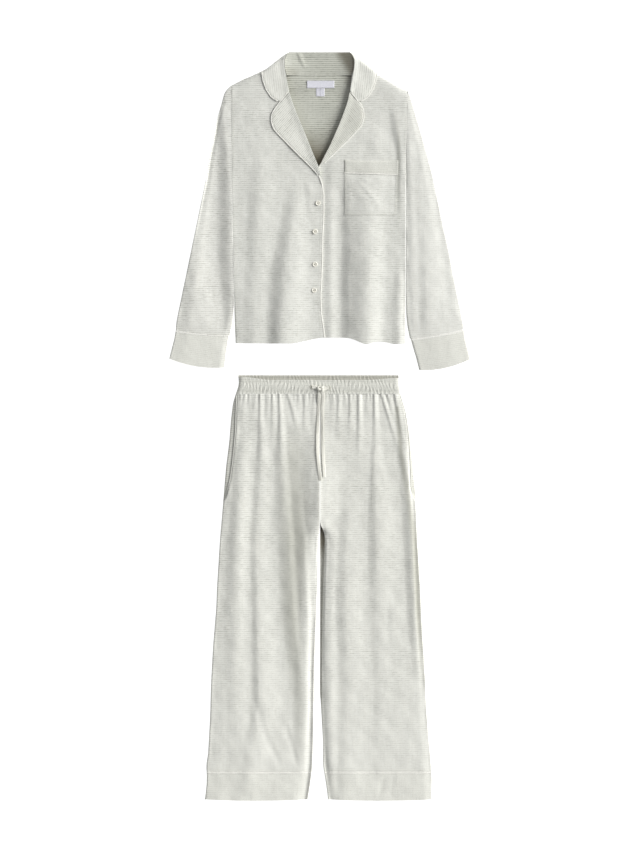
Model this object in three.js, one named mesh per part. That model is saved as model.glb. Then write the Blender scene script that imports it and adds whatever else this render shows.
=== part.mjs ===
// A pyjama set laid flat: a collared top above a pair of wide trousers.
// Millimetres, +Z up. Both garments lie on their back panels at Z 0, and +Y runs from the hems to the collar.
// Left and right are as seen from above with the collar at the top.
import * as THREE from 'three';

// Cloth, seams and layers
const WALL = 1.2;
const SEAM = 0.3;
const BACK_TOP = WALL;
const EDGE_TOP = BACK_TOP + SEAM + WALL;
const FRONT_TOP = 8.6;
const OVERLAP_TOP = 6.9;
const FOLDED_EDGE = 1.8;
const PIPING = { width: 2.6, height: 2 };
const ON_TOP = 0.5;

// Where each garment's centre line and hem line lie in the shared frame
const CENTRE_X = -0.75;
const TOP_HEM_Y = 195.5;
const TROUSERS_HEM_Y = -858.5;

// The top
const COLLAR_Y = 666;
const NECK_SEAM_Y = 612;
const SHOULDER = { leftX: -203, leftY: 589, rightX: 203.5, rightY: 576, neckX: 84, neckY: 645 };
const UNDERARM_Y = 385;
const POCKET = { left: 57.7, right: 181, bottom: 289, seam: 385, top: 416.8 };
const LABEL = { left: -29, right: 34, bottom: 583, top: 600, thick: 1 };
const SIZE_TAB = { left: -8, right: 11.5, bottom: 564, top: 582.4 };
const BUTTON = { radius: 5.75, thick: 1.8, hole: 0.8, holeCentre: 1.8 };
const BUTTON_PLACES = [[-3.5, 317.4], [-10.4, 252], [-10.4, 176.6], [-12.4, 117]];

// The trousers
const CUFF_SEAM_Y = 61;
const WAIST_SEAM_Y = 932.5;
const CROTCH_Y = 627;
const BAND_TOP_Y = 965;
const BACK_BAND_TOP_Y = 976;
const POCKET_MOUTH_Y = 691;
const RIPPLES = 42;
const TAPE = { width: 7.5, height: 1.4 };

// Colours of the cloth, the trims and the small hard pieces
const finish = (color, roughness = 0.9) => new THREE.MeshStandardMaterial({ color, roughness, metalness: 0 });
const JERSEY = 0xd3d3c9;
const PIPING_WHITE = 0xecebe3;
const TAPE_WHITE = 0xe6e5de;
const BUTTON_CREAM = 0xe9e4d4;
const LABEL_WHITE = 0xe6e6ec;

const mix = (a, b, t) => a + (b - a) * t;
const unit = (t) => Math.min(1, Math.max(0, t));
const smooth = (t) => unit(t) ** 2 * (3 - 2 * unit(t));
// The quarter ellipse of a rounded edge: 0 at the edge, 1 from `reach` inwards
const crown = (distance, reach) => (reach > 0 ? Math.sqrt(1 - (1 - unit(distance / reach)) ** 2) : 1);
const spread = (from, to, count) => Array.from({ length: count + 1 }, (_, i) => mix(from, to, i / count));

// Reads a table of rows [place, value], sorted by place
function read(table, place) {
  const last = table.length - 1;
  if (place <= table[0][0]) return table[0][1];
  for (let i = 0; i < last; i += 1) {
    const [from, a] = table[i];
    const [to, b] = table[i + 1];
    if (place <= to) return mix(a, b, (place - from) / (to - from));
  }
  return table[last][1];
}

// A closed body made of rows of points, joined row to row
class Body {
  constructor() {
    this.points = [];
    this.faces = [];
  }

  row(list) {
    return list.map(([s, x, y, z]) => ({ s, i: this.points.push(x, y, z) / 3 - 1 }));
  }

  // Joins two rows that may have different counts, by their places s
  bridge(a, b) {
    let i = 0;
    let j = 0;
    while (i < a.length - 1 || j < b.length - 1) {
      const stepA = j === b.length - 1 || (i < a.length - 1 && a[i + 1].s <= b[j + 1].s);
      if (stepA) {
        this.faces.push(a[i].i, a[i + 1].i, b[j].i);
        i += 1;
      } else {
        this.faces.push(a[i].i, b[j + 1].i, b[j].i);
        j += 1;
      }
    }
  }

  quad(a, b, c, d) {
    this.faces.push(a, b, c, a, c, d);
  }

  volume() {
    const corner = (k) => new THREE.Vector3().fromArray(this.points, this.faces[k] * 3);
    let sum = 0;
    for (let k = 0; k < this.faces.length; k += 3) {
      sum += corner(k).dot(corner(k + 1).cross(corner(k + 2)));
    }
    return sum;
  }

  mesh(name, material) {
    const outwards = this.volume() > 0 ? this.faces : [...this.faces].reverse();
    const geometry = new THREE.BufferGeometry();
    geometry.setAttribute('position', new THREE.Float32BufferAttribute(this.points, 3));
    geometry.setIndex(outwards);
    geometry.computeVertexNormals();
    const mesh = new THREE.Mesh(geometry, material);
    mesh.name = name;
    return mesh;
  }
}

// A panel of cloth: rows [left x, left y, right x, right y] from its hem end to its top, with columns at
// places 0 to 1 across, an upper and an under surface, and `bend` to curve a row's points along Y.
function panel(name, material, { rows, columns, underColumns = columns, top, under, bend = (x, y) => y }) {
  const body = new Body();
  const surface = (places, height) => rows.map(([lx, ly, rx, ry], k) => {
    const width = Math.hypot(rx - lx, ry - ly);
    return body.row(places.map((s) => {
      const x = mix(lx, rx, s);
      const y = bend(x, mix(ly, ry, s), k);
      return [s, x, y, height({ x, y, s, fromLeft: s * width, fromRight: (1 - s) * width })];
    }));
  });
  const upper = surface(columns, top);
  const lower = surface(underColumns, under);
  const side = (grid, pick) => grid.map((row, k) => ({ s: k, i: pick(row).i }));
  const first = (row) => row[0];
  const final = (row) => row[row.length - 1];
  for (let k = 0; k < rows.length - 1; k += 1) {
    body.bridge(upper[k], upper[k + 1]);
    body.bridge(lower[k + 1], lower[k]);
  }
  body.bridge(side(upper, first), side(lower, first));
  body.bridge(side(lower, final), side(upper, final));
  body.bridge(lower[0], upper[0]);
  body.bridge(final(upper), final(lower));
  return body.mesh(name, material);
}

// A flattened tube of cloth that lies on the surface, open at both ends: rings [left x, left y, right x,
// right y, sag] with `top` as on a panel, `proud` standing out from it, and `columns` across its upper side.
function tube(name, material, { rings, columns, top, wall = WALL, proud = 0, flatPoints = 3 }) {
  const body = new Body();
  const below = spread(1, 0, flatPoints);
  const loop = ([lx, ly, rx, ry, sag = 0], inset) => {
    const width = Math.hypot(rx - lx, ry - ly);
    const at = (s, height) => {
      const place = mix(inset / width, 1 - inset / width, s);
      const x = mix(lx, rx, place);
      const y = mix(ly, ry, place) - sag * 4 * place * (1 - place);
      return [s, x, y, height({ x, y, s: place, fromLeft: place * width - inset, fromRight: (1 - place) * width - inset })];
    };
    const upper = columns.map((s) => at(s, (p) => top(p) + proud - (inset ? wall + proud : 0)));
    const lower = below.map((s) => at(s, () => (inset ? wall : 0)));
    return body.row([...upper, ...lower]);
  };
  const outer = rings.map((ring) => loop(ring, 0));
  const inner = rings.map((ring) => loop(ring, wall));
  const count = outer[0].length;
  const last = rings.length - 1;
  for (let j = 0; j < count; j += 1) {
    const n = (j + 1) % count;
    for (let k = 0; k < last; k += 1) {
      body.quad(outer[k][j].i, outer[k][n].i, outer[k + 1][n].i, outer[k + 1][j].i);
      body.quad(inner[k][n].i, inner[k][j].i, inner[k + 1][j].i, inner[k + 1][n].i);
    }
    body.quad(outer[0][n].i, outer[0][j].i, inner[0][j].i, inner[0][n].i);
    body.quad(outer[last][j].i, outer[last][n].i, inner[last][n].i, inner[last][j].i);
  }
  return body.mesh(name, material);
}

// A narrow trim along points [x, y], its underside at `base`
function trim(name, material, { path, width, height, base }) {
  const body = new Body();
  const section = [[0.5, 0.5], [0.28, 1], [-0.28, 1], [-0.5, 0.5], [-0.28, 0], [0.28, 0]];
  const rings = path.map(([x, y], k) => {
    const [px, py] = path[Math.max(0, k - 1)];
    const [nx, ny] = path[Math.min(path.length - 1, k + 1)];
    const length = Math.hypot(nx - px, ny - py);
    const z = base(x, y);
    return body.row(section.map(([across, up]) => [
      0,
      x + (ny - py) / length * across * width,
      y - (nx - px) / length * across * width,
      z + up * height,
    ]));
  });
  const last = rings.length - 1;
  section.forEach((_, j) => {
    const n = (j + 1) % section.length;
    for (let k = 0; k < last; k += 1) {
      body.quad(rings[k][j].i, rings[k][n].i, rings[k + 1][n].i, rings[k + 1][j].i);
    }
  });
  for (let j = 1; j < section.length - 1; j += 1) {
    body.faces.push(rings[0][0].i, rings[0][j + 1].i, rings[0][j].i);
    body.faces.push(rings[last][0].i, rings[last][j].i, rings[last][j + 1].i);
  }
  return body.mesh(name, material);
}

// Points moved sideways by `distance`, to the left of the way they run
function beside(path, distance) {
  return path.map(([x, y], k) => {
    const [px, py] = path[Math.max(0, k - 1)];
    const [nx, ny] = path[Math.min(path.length - 1, k + 1)];
    const length = Math.hypot(nx - px, ny - py);
    return [x - (ny - py) / length * distance, y + (nx - px) / length * distance];
  });
}

// Soft folds: rows [start x, start y, end x, end y, half width, rise at the start, rise at the end]
function foldsAt(folds, x, y) {
  return folds.reduce((sum, [x0, y0, x1, y1, half, riseStart, riseEnd]) => {
    const length = (x1 - x0) ** 2 + (y1 - y0) ** 2;
    const u = unit(((x - x0) * (x1 - x0) + (y - y0) * (y1 - y0)) / length);
    const distance = Math.hypot(x - mix(x0, x1, u), y - mix(y0, y1, u));
    const bump = 0.5 + 0.5 * Math.cos(Math.PI * unit(distance / half));
    return sum + mix(riseStart, riseEnd, u) * bump;
  }, 0);
}

// Folds of the top: x0, y0, x1, y1, half width, rise at the start, rise at the end
const TOP_FOLDS = [
  [-49, 324, -79, 0, 30, 1, 5],
  [98, 262, 105, 0, 30, 0.6, 5.5],
  [-146, 330, -146, 0, 24, 0.6, 2.8],
  [155, 110, 155, 0, 18, 0.4, 2.4],
  [30, 230, 38, 0, 20, 0.4, 1.6],
  [-120, 560, -170, 420, 26, 0.6, 1.6],
  [140, 545, 162, 462, 18, 0.5, 1.2],
];
const SLEEVE_FOLDS = [
  [272, 460, 326, -30, 26, 2, 1],
  [236, 500, 262, 120, 20, 1.4, 2.2],
  [214, 380, 222, -20, 14, 0, 1.4],
];

// Folds of the legs
const LEG_FOLDS = [
  [-139, 905, -132, 420, 30, 1.6, 3.4],
  [-132, 420, -114, 252, 30, 3.4, 3],
  [-114, 252, -50, 70, 26, 3, 2.2],
  [-72, 690, -64, 440, 24, 1.4, 3.4],
  [-64, 440, -30, 130, 24, 3.4, 2],
  [-183, 830, -190, 360, 24, 1.6, 1],
  [-205, 420, -214, 0, 26, 1, 1.6],
  [14, 640, 22, 0, 16, 1, 2.6],
  [70, 735, 70, 230, 26, 1.6, 3.6],
  [70, 230, 68, 0, 24, 3.6, 1.8],
  [153, 826, 158, 350, 26, 2, 3.2],
  [158, 350, 150, 0, 26, 3.2, 1.8],
  [217, 712, 240, 380, 20, 1.2, 2.2],
  [118, 240, 112, 0, 18, 0.6, 1.6],
];

// Gathers under the waist: x at the seam, x and y where each ends, rise
const GATHERS_LEFT = [
  [-180, -183, 860, 1.6], [-165, -170, 800, 2], [-150, -152, 870, 1.6], [-128, -124, 760, 2.4],
  [-104, -100, 790, 2.2], [-84, -70, 820, 2.2], [-62, -44, 800, 2.6], [-48, -36, 850, 1.6],
  [-30, -26, 830, 2], [-14, -13, 880, 1.2],
];
const GATHERS_RIGHT = [
  [24, 22, 880, 1.4], [38, 38, 840, 2], [54, 56, 860, 1.8], [74, 78, 770, 2.6], [98, 104, 840, 2],
  [114, 124, 780, 2.4], [132, 160, 750, 2.6], [148, 178, 810, 2.4], [162, 188, 780, 2.6], [172, 192, 860, 1.4],
];
const GATHER_HALF = 8;

// Outlines of the legs: y, x
const LEFT_OUTER = [
  [0, -264], [22, -261], [49.5, -258.8], [77, -261], [105, -256.5], [187, -252], [270, -249.6], [353, -245],
  [436, -238], [491, -235.8], [601, -229], [657, -224], [712, -219.7], [767, -215], [822, -208], [877, -203.6],
  [914, -199], [942, -189.7], [955.6, -185], [976, -187],
];
const LEFT_INNER = [
  [0, -26.4], [22, -22.8], [49.5, -18.4], [77, -15.8], [132, -13.8], [298, -11.5], [436, -6.8], [546, -2.8], [627, 0.2],
  [640, 0.7],
];
const RIGHT_INNER = [
  [0, 19.6], [22, 17], [49.5, 12.7], [77, 8], [132, 8], [215, 3.5], [243, 1.2], [601, 1.5], [640, 1.3],
];
// The right leg's front stops short of its back along the inseam, so the back shows beside it
const RIGHT_FRONT_INNER = [
  [0, 19.6], [22, 17], [49.5, 12.7], [77, 8], [132, 8], [215, 5], [300, 5], [400, 6], [500, 8.5], [560, 11],
  [600, 12.4], [618, 10.5], [627, 4], [634, 1.4], [640, 1.3],
];
const RIGHT_OUTER = [
  [0, 259.8], [49.5, 260], [77, 257.7], [187, 248.2], [325, 241.2], [381, 237], [491, 232.2], [601, 225.2],
  [712, 220.9], [767, 216.2], [822, 211.7], [850, 207.2], [877, 202.2], [914, 191], [942, 186.2], [955.6, 184.1],
  [976, 181.8],
];
// The pocket mouths, where each leg front stops short of the side seam: y, x
const LEFT_MOUTH = [
  [691, -216], [712, -210.7], [737, -204], [772, -199], [804, -195.5], [845, -192], [932, -189],
];
const RIGHT_MOUTH = [
  [691, 217.6], [712, 210.1], [768, 207.9], [812, 205.6], [856, 201.4], [894, 195.6], [932, 183.6],
];

const LEG_ROWS = [
  CUFF_SEAM_Y + 2, 120, 190, 265, 345, 425, 500, 570, CROTCH_Y, POCKET_MOUTH_Y, 745, 800, 850, 885, 912, WAIST_SEAM_Y,
];

function gathersAt(gathers, x, y) {
  return gathers.reduce((sum, [seamX, endX, endY, rise]) => {
    const down = unit((WAIST_SEAM_Y - y) / (WAIST_SEAM_Y - endY));
    const distance = Math.abs(x - mix(seamX, endX, down));
    const half = mix(GATHER_HALF, 1.6 * GATHER_HALF, down);
    return sum + rise * smooth(1 - down) * unit(1 - distance / half);
  }, 0);
}

// The upper face of a front that lies over a back: rounded down to its side seams, then folds and gathers
function laidTop(p, { left = 14, right = 14, leftEdge = EDGE_TOP, rightEdge = EDGE_TOP, folds = [], gathers = [], inset = 0 }) {
  const leftRise = mix(leftEdge, FRONT_TOP, crown(p.fromLeft - inset, left));
  const rightRise = mix(rightEdge, FRONT_TOP, crown(p.fromRight - inset, right));
  const faded = (distance, reach) => (reach > 0 ? smooth((distance - inset) / (1.5 * reach)) : 1);
  const clear = Math.min(faded(p.fromLeft, left), faded(p.fromRight, right));
  return Math.min(leftRise, rightRise) + clear * (foldsAt(folds, p.x, p.y) + gathersAt(gathers, p.x, p.y));
}

// The top's outline
const HEM = [
  [-201, -4.5], [-60, -6], [-35, 0], [-8, 6], [2, 8], [65, 8], [88, 0], [102, -8], [116, -6], [132, -1],
  [146, -1], [158, -4], [172, -7], [200, -5],
];
const hemBend = (x, y) => y + read(HEM, x) * unit(1 - y / 60);
const NECK_EDGE = [
  [SHOULDER.leftX, SHOULDER.leftY], [-178, 602], [-131, 622], [-84, 641], [-70, NECK_SEAM_Y], [70, NECK_SEAM_Y],
  [84, 641], [131, 617.5], [SHOULDER.rightX, SHOULDER.rightY],
];
const BACK_SHOULDER_FROM = 550;

// The fall of the collar lies under the back's neck, so the back rises over it
const overFall = (x, y) => (BACK_TOP + SEAM) * smooth((y - 571) / 16) * unit((178 - Math.abs(x)) / 47);

function shirtBack() {
  const columns = [0, 0.06, 0.177, 0.293, 0.328, 0.5, 0.672, 0.707, 0.823, 0.94, 1];
  const neck = (x, y, k) => {
    if (k < 8) return hemBend(x, y + (k === 0 ? 4 : 0));
    return mix(y, read(NECK_EDGE, x), (k - 7) / 3);
  };
  return panel('shirt_back', finish(JERSEY), {
    rows: [
      [-193.4, 0, 197.6, 0], [-195.6, 65, 197.8, 65], [-196.8, 117, 198, 117], [-199.4, 255, 198, 255],
      [-201, UNDERARM_Y, 198, UNDERARM_Y], [-201.8, 470, 200.4, 470], [-202.2, 520, 201.6, 520],
      [-202.6, BACK_SHOULDER_FROM, 202.6, BACK_SHOULDER_FROM], [-202.8, BACK_SHOULDER_FROM, 202.9, BACK_SHOULDER_FROM],
      [-202.9, BACK_SHOULDER_FROM, 203.2, BACK_SHOULDER_FROM],
      [SHOULDER.leftX, BACK_SHOULDER_FROM, SHOULDER.rightX, BACK_SHOULDER_FROM],
    ],
    columns,
    bend: neck,
    top: ({ x, y }) => BACK_TOP + overFall(x, y),
    under: ({ x, y }) => overFall(x, y),
  });
}

// The fronts: how high their edges stand along the armhole and at the shoulder
const armholeEdge = (x, y) => mix(EDGE_TOP, 6.8,
  smooth((y - UNDERARM_Y) / 30) * smooth(((x < 0 ? SHOULDER.leftY : SHOULDER.rightY) - y) / 14));
const shoulderDrop = (x, y) => {
  const { leftX, leftY, rightX, rightY, neckX, neckY } = SHOULDER;
  const [outX, outY] = x < 0 ? [-leftX, leftY] : [rightX, rightY];
  const slope = (neckY - outY) / (outX - neckX);
  return crown(((outX - Math.abs(x)) * slope + outY - y) / Math.hypot(1, slope), 14);
};

function shirtFrontTop(p, inset, options) {
  const edge = armholeEdge(p.x, p.y);
  const overFallHere = overFall(p.x, p.y);
  const height = laidTop(p, { folds: TOP_FOLDS, inset, ...options(edge) });
  const low = EDGE_TOP + overFallHere;
  return low + (Math.max(height, low) - low) * shoulderDrop(p.x, p.y + inset);
}

// The left front laps over; its inner edge is the roll line down to the first button, then the piped edge
const LEFT_FRONT_ROWS = [
  [-193, 0, 10, 0], [-194.6, 30, 7, 30], [-195.6, 65, 2.5, 63.5], [-196.6, 117, 1.2, 104], [-198, 172, 4.4, 172.5],
  [-199, 240, 5.3, 240], [-200, 300, 8, 294.4], [-200.6, 345, 8, 340], [-201, UNDERARM_Y, 3.4, 371.7],
  [-201.3, 412, -1, 399.5], [-201.6, 440, -16.3, 436], [-202, 482, -38.6, 491.5], [-202.4, 528, -61, 547],
  [-202.6, 553, -69.2, 573], [-202.8, 569, -74.8, 600], [-202.9, 580, -80.5, 631],
  [SHOULDER.leftX, SHOULDER.leftY, -SHOULDER.neckX, SHOULDER.neckY],
];
const leftFrontOptions = (edge) => ({ leftEdge: edge, left: 16, right: 0 });

function shirtFrontLeft() {
  return panel('shirt_front_left', finish(JERSEY), {
    rows: LEFT_FRONT_ROWS,
    columns: [0, 0.008, 0.025, 0.055, ...spread(0.1, 1, 16)],
    underColumns: [0, 0.025, 0.055, 0.1, 0.2125, 0.325, 0.4375, 0.55, 0.6625, 0.775, 0.8875, 1],
    bend: hemBend,
    top: (p) => shirtFrontTop(p, 0, leftFrontOptions),
    under: (p) => shirtFrontTop(p, WALL, leftFrontOptions) - WALL,
  });
}

// The right front laps under, so it dips below the left one
const RIGHT_FRONT_ROWS = [
  [-22, 0, 197.6, 0], [-22, 30, 197.7, 30], [-22, 65, 197.8, 65], [-22, 110, 197.9, 117], [-22, 172, 198, 172],
  [-22, 240, 198, 240], [-22, 300, 198, 300], [-20, 350, 198, 345], [-12, 384, 198, UNDERARM_Y],
  [0.5, 405, 198.8, 412], [22.8, 447, 199.7, 445], [44.9, 497, 200.8, 482], [66, 553, 202, 522],
  [70, 573, 202.6, 544], [74.3, 614, 203, 559], [76, 632, 203.3, 568],
  [SHOULDER.neckX, SHOULDER.neckY, SHOULDER.rightX, SHOULDER.rightY],
];
const overlapDip = (x, y) => (FRONT_TOP - OVERLAP_TOP) * smooth((30 - x) / 20) * smooth((425 - y) / 23);
const rightFrontOptions = (edge) => ({ rightEdge: edge, right: 16, left: 0 });
const rightFrontTop = (p, inset) => shirtFrontTop(p, inset, rightFrontOptions) - overlapDip(p.x, p.y);

function shirtFrontRight() {
  return panel('shirt_front_right', finish(JERSEY), {
    rows: RIGHT_FRONT_ROWS,
    columns: [...spread(0, 0.9, 17), 0.945, 0.975, 0.992, 1],
    underColumns: [0, 0.106, 0.212, 0.318, 0.424, 0.529, 0.635, 0.741, 0.847, 0.9, 0.945, 0.975, 1],
    bend: hemBend,
    top: (p) => rightFrontTop(p, 0),
    under: (p) => rightFrontTop(p, WALL) - WALL,
  });
}

// The sleeves: outer edge and underarm edge, from the armhole to the cuff seam, for the left sleeve
const SLEEVE_OUTER = [
  [-203.3, 589], [-218.5, 574], [-226.6, 543], [-235.8, 513], [-240, 485], [-252, 430], [-261, 375],
  [-272.6, 320], [-284, 264.5], [-295.6, 209], [-307, 154], [-318.6, 99], [-330, 43.7], [-330.8, 25.6],
];
const SLEEVE_INNER = [
  [-201.3, 385], [-201.6, 352], [-201.6, 322], [-201, 294], [-200.6, 266], [-200, 236], [-199.4, 206],
  [-199, 176], [-198.5, 146], [-198, 118], [-197.4, 90], [-197.8, 62], [-201, 38], [-206.6, 14.2],
];
const SLEEVE_OUTER_RIGHT = [
  [203.8, 576], [211, 560], [217, 538], [224, 513], [232.5, 485], [248.5, 430], [262.5, 375], [274, 320],
  [285.5, 264.5], [298.5, 209], [308.5, 154], [320, 99], [331.4, 43.7], [333, 28.4],
];
const SLEEVE_INNER_RIGHT = [
  [198.3, 385], [199, 352], [199, 322], [199, 294], [199, 266], [199, 236], [199, 206], [199, 176],
  [199, 146], [199, 118], [199, 90], [200, 58], [202.6, 32], [208, 6.2],
];
const CUFF_RINGS = {
  left: [[-331.6, 22, -208.6, 11, 3], [-334.7, 4, -212.2, -10, 4.5], [-341, -20, -215.5, -36, 6.5], [-346, -40, -218.5, -60, 8]],
  right: [[210.6, 2.6, 333.4, 24.6, 3], [215.4, -14, 336.5, 4, 4.5], [223, -40, 342.5, -20, 6.5], [229.6, -66, 347.5, -41, 8]],
};
const PIPING_RINGS = {
  left: [[-331, 25.2, -206.9, 14, 3], [-331.5, 22.6, -208.4, 11.3, 3]],
  right: [[209.6, 6.1, 332.9, 27.8, 3], [210.4, 3.2, 333.3, 25.2, 3]],
};
const CUFF_COLUMNS = [0, 0.02, 0.06, 0.12, 0.24, 0.36, 0.48, 0.6, 0.72, 0.84, 0.93, 0.98, 1];

// Sleeve folds are given for the right sleeve; the left one mirrors them
const sleeveTop = (side) => (p) => laidTop(p, {
  left: side < 0 ? 22 : 26,
  right: side < 0 ? 26 : 22,
  folds: side < 0 ? SLEEVE_FOLDS.map(([x0, y0, x1, y1, ...rest]) => [-x0, y0, -x1, y1, ...rest]) : SLEEVE_FOLDS,
});

function sleeve(word, side) {
  const outer = side < 0 ? SLEEVE_OUTER : SLEEVE_OUTER_RIGHT;
  const inner = side < 0 ? SLEEVE_INNER : SLEEVE_INNER_RIGHT;
  const last = outer.length - 1;
  const rings = outer.map(([ox, oy], k) => {
    const [ix, iy] = inner[k];
    const sag = 3 * smooth((k - last + 4) / 4);
    return side < 0 ? [ox, oy, ix, iy, sag] : [ix, iy, ox, oy, sag];
  });
  const top = sleeveTop(side);
  return tube(`sleeve_${word}`, finish(JERSEY), { rings, columns: CUFF_COLUMNS, top });
}

const cuff = (word, side) => tube(`cuff_${word}`, finish(JERSEY), {
  rings: CUFF_RINGS[word], columns: CUFF_COLUMNS, top: sleeveTop(side), wall: FOLDED_EDGE,
});
const cuffPiping = (word, side) => tube(`cuff_piping_${word}`, finish(PIPING_WHITE), {
  rings: PIPING_RINGS[word], columns: CUFF_COLUMNS, top: sleeveTop(side), proud: 0.7,
});

// The collar: a stand at the back of the neck, the fall that lies under it, and a leaf on each front
const SILHOUETTE = { outerX: 130.6, outerY: 620, innerX: 71, innerY: 666 };
const LEAF_ROWS = [
  [-90, 550.5, -70, 575], [-101, 556, -71.5, 582], [-111, 564, -73.4, 592], [-122, 581, -76.5, 610],
  [-129.3, 603, -79.5, 626], [-130, 610.5, -80.2, 634], [-130.4, 616, -80.6, 640], [-130.6, 620, -80.6, 646],
  [-112, 634.5, -79, 654], [-88, 653.5, -74, 663],
];
const LAPEL_ROWS_LEFT = [
  [-2.4, 384, 1.9, 383.5], [-13.6, 396.8, -1.4, 400.5], [-28, 411.5, -9, 418.5], [-45, 428, -16.3, 436],
  [-66.5, 449.7, -27, 463], [-88.6, 472, -38.6, 491.5], [-104, 489, -47, 512], [-109.7, 505.5, -54, 529],
  [-108, 522, -61, 547], [-97, 540.5, -65.5, 561], [-88.5, 549.5, -69, 572.6],
];
const LAPEL_ROWS_RIGHT = [
  [4, 410, 10.5, 411], [13, 429, 27, 427], [22.8, 447, 42, 441], [33, 470, 58.7, 458], [44.9, 497, 78.4, 477.7],
  [51.5, 514, 95.5, 497], [57.5, 530, 100.7, 513.8], [62.5, 544, 99.4, 530.6], [66, 556, 95, 543], [69, 571.8, 87.8, 549.8],
];

// Distance to the collar's slanting outer edge, where the leaf turns down over the shoulder
function toSilhouette(x, y) {
  const { outerX, outerY, innerX, innerY } = SILHOUETTE;
  const side = Math.abs(x);
  const dx = innerX - outerX;
  const dy = innerY - outerY;
  const u = unit(((side - outerX) * dx + (y - outerY) * dy) / (dx ** 2 + dy ** 2));
  return Math.hypot(side - mix(outerX, innerX, u), y - mix(outerY, innerY, u));
}
const LEAF_EDGE_UNDER = 5.5;
const leafUnder = (x, y) => mix(LEAF_EDGE_UNDER, FRONT_TOP + ON_TOP, crown(toSilhouette(x, y), 9));
const rollPuff = (distance) => 1.3 * smooth(1 - distance / 14);

function collarLeaf(word, side) {
  const rows = side < 0 ? LEAF_ROWS : LEAF_ROWS.map(([ox, oy, ix, iy]) => [-ix, iy, -ox, oy]);
  const columns = side < 0 ? [0, 0.05, 0.15, 0.35, 0.6, 0.8, 1] : [0, 0.2, 0.4, 0.65, 0.85, 0.95, 1];
  const toRoll = (p) => (side < 0 ? p.fromRight : p.fromLeft);
  return panel(`collar_leaf_${word}`, finish(JERSEY), {
    rows,
    columns,
    top: (p) => leafUnder(p.x, p.y) + FOLDED_EDGE + rollPuff(toRoll(p)) * crown(toSilhouette(p.x, p.y), 9),
    under: (p) => leafUnder(p.x, p.y),
  });
}

function lapel(word, side) {
  const frontTop = side < 0 ? () => FRONT_TOP : (x, y) => FRONT_TOP - overlapDip(x, y);
  const toRoll = (p) => (side < 0 ? p.fromRight : p.fromLeft);
  return panel(`lapel_${word}`, finish(JERSEY), {
    rows: side < 0 ? LAPEL_ROWS_LEFT : LAPEL_ROWS_RIGHT,
    columns: spread(0, 1, 4),
    top: (p) => frontTop(p.x, p.y) + ON_TOP + FOLDED_EDGE + rollPuff(toRoll(p)),
    under: (p) => frontTop(p.x, p.y) + ON_TOP,
  });
}

// The stand hangs like a hammock between the roll lines and lies on the fall
const hammock = (x) => 6 * Math.abs(x / 76) ** 4;
function collarStand() {
  const top = (x, y) => BACK_TOP + SEAM + WALL + hammock(x) + 1.5 * smooth((y - 645) / 18);
  return panel('collar_stand', finish(JERSEY), {
    rows: [
      [-68, NECK_SEAM_Y + SEAM, 68, NECK_SEAM_Y + SEAM], [-74, 626, 73, 626], [-77, 640, 75.5, 640],
      [-76.5, 652, 76, 652], [-72, 660, 71, 660], [-70, COLLAR_Y - 1, 70, COLLAR_Y - 1],
    ],
    columns: spread(0, 1, 12),
    top: ({ x, y }) => top(x, y),
    under: ({ x, y }) => top(x, y) - WALL,
  });
}

function collarFall() {
  const slope = (x, y, k) => (k < 2 ? y : y - 46 * unit((Math.abs(x) - 71) / 59.6) * (k - 1) / 2);
  return panel('collar_fall', finish(JERSEY), {
    rows: [[-124, 604, 124, 604], [-128, 612, 128, 612], [-129.5, 640, 129.5, 640], [-130.6, COLLAR_Y, 130.6, COLLAR_Y]],
    columns: [0, 0.11, 0.228, 0.4, 0.6, 0.772, 0.89, 1],
    bend: slope,
    top: () => WALL,
    under: () => 0,
  });
}

// Piping lies beside each folded edge, on the front under it
const pipingOffset = SEAM + PIPING.width / 2;
const pipe = (name, path, base) => trim(name, finish(PIPING_WHITE), { path, ...PIPING, base });
const mirrored = (path) => path.map(([x, y]) => [-x, y]);
const outerEdge = (rows, pick) => rows.map((row) => [row[pick], row[pick + 1]]);

function collarPipings() {
  const [notch, next, ...leafEdge] = outerEdge(LEAF_ROWS, 0).slice(0, -2);
  const start = [mix(notch[0], next[0], 0.35), mix(notch[1], next[1], 0.35)];
  const left = beside([start, next, ...leafEdge], pipingOffset);
  const lapelLeft = beside(outerEdge(LAPEL_ROWS_LEFT, 0).slice(0, -1), pipingOffset);
  const lapelRight = beside(outerEdge(LAPEL_ROWS_RIGHT, 2).slice(0, -1), -pipingOffset);
  return [
    pipe('collar_piping_left', left, leafUnder),
    pipe('collar_piping_right', mirrored(left), leafUnder),
    pipe('lapel_piping_left', lapelLeft, () => FRONT_TOP + ON_TOP),
    pipe('lapel_piping_right', lapelRight, (x, y) => FRONT_TOP + ON_TOP - overlapDip(x, y)),
  ];
}

function frontPiping() {
  const edge = LEFT_FRONT_ROWS.slice(0, 9).map(([, , x, y]) => [x, hemBend(x, y)]);
  return pipe('front_piping', beside(edge, -pipingOffset), () => OVERLAP_TOP + ON_TOP);
}

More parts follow.
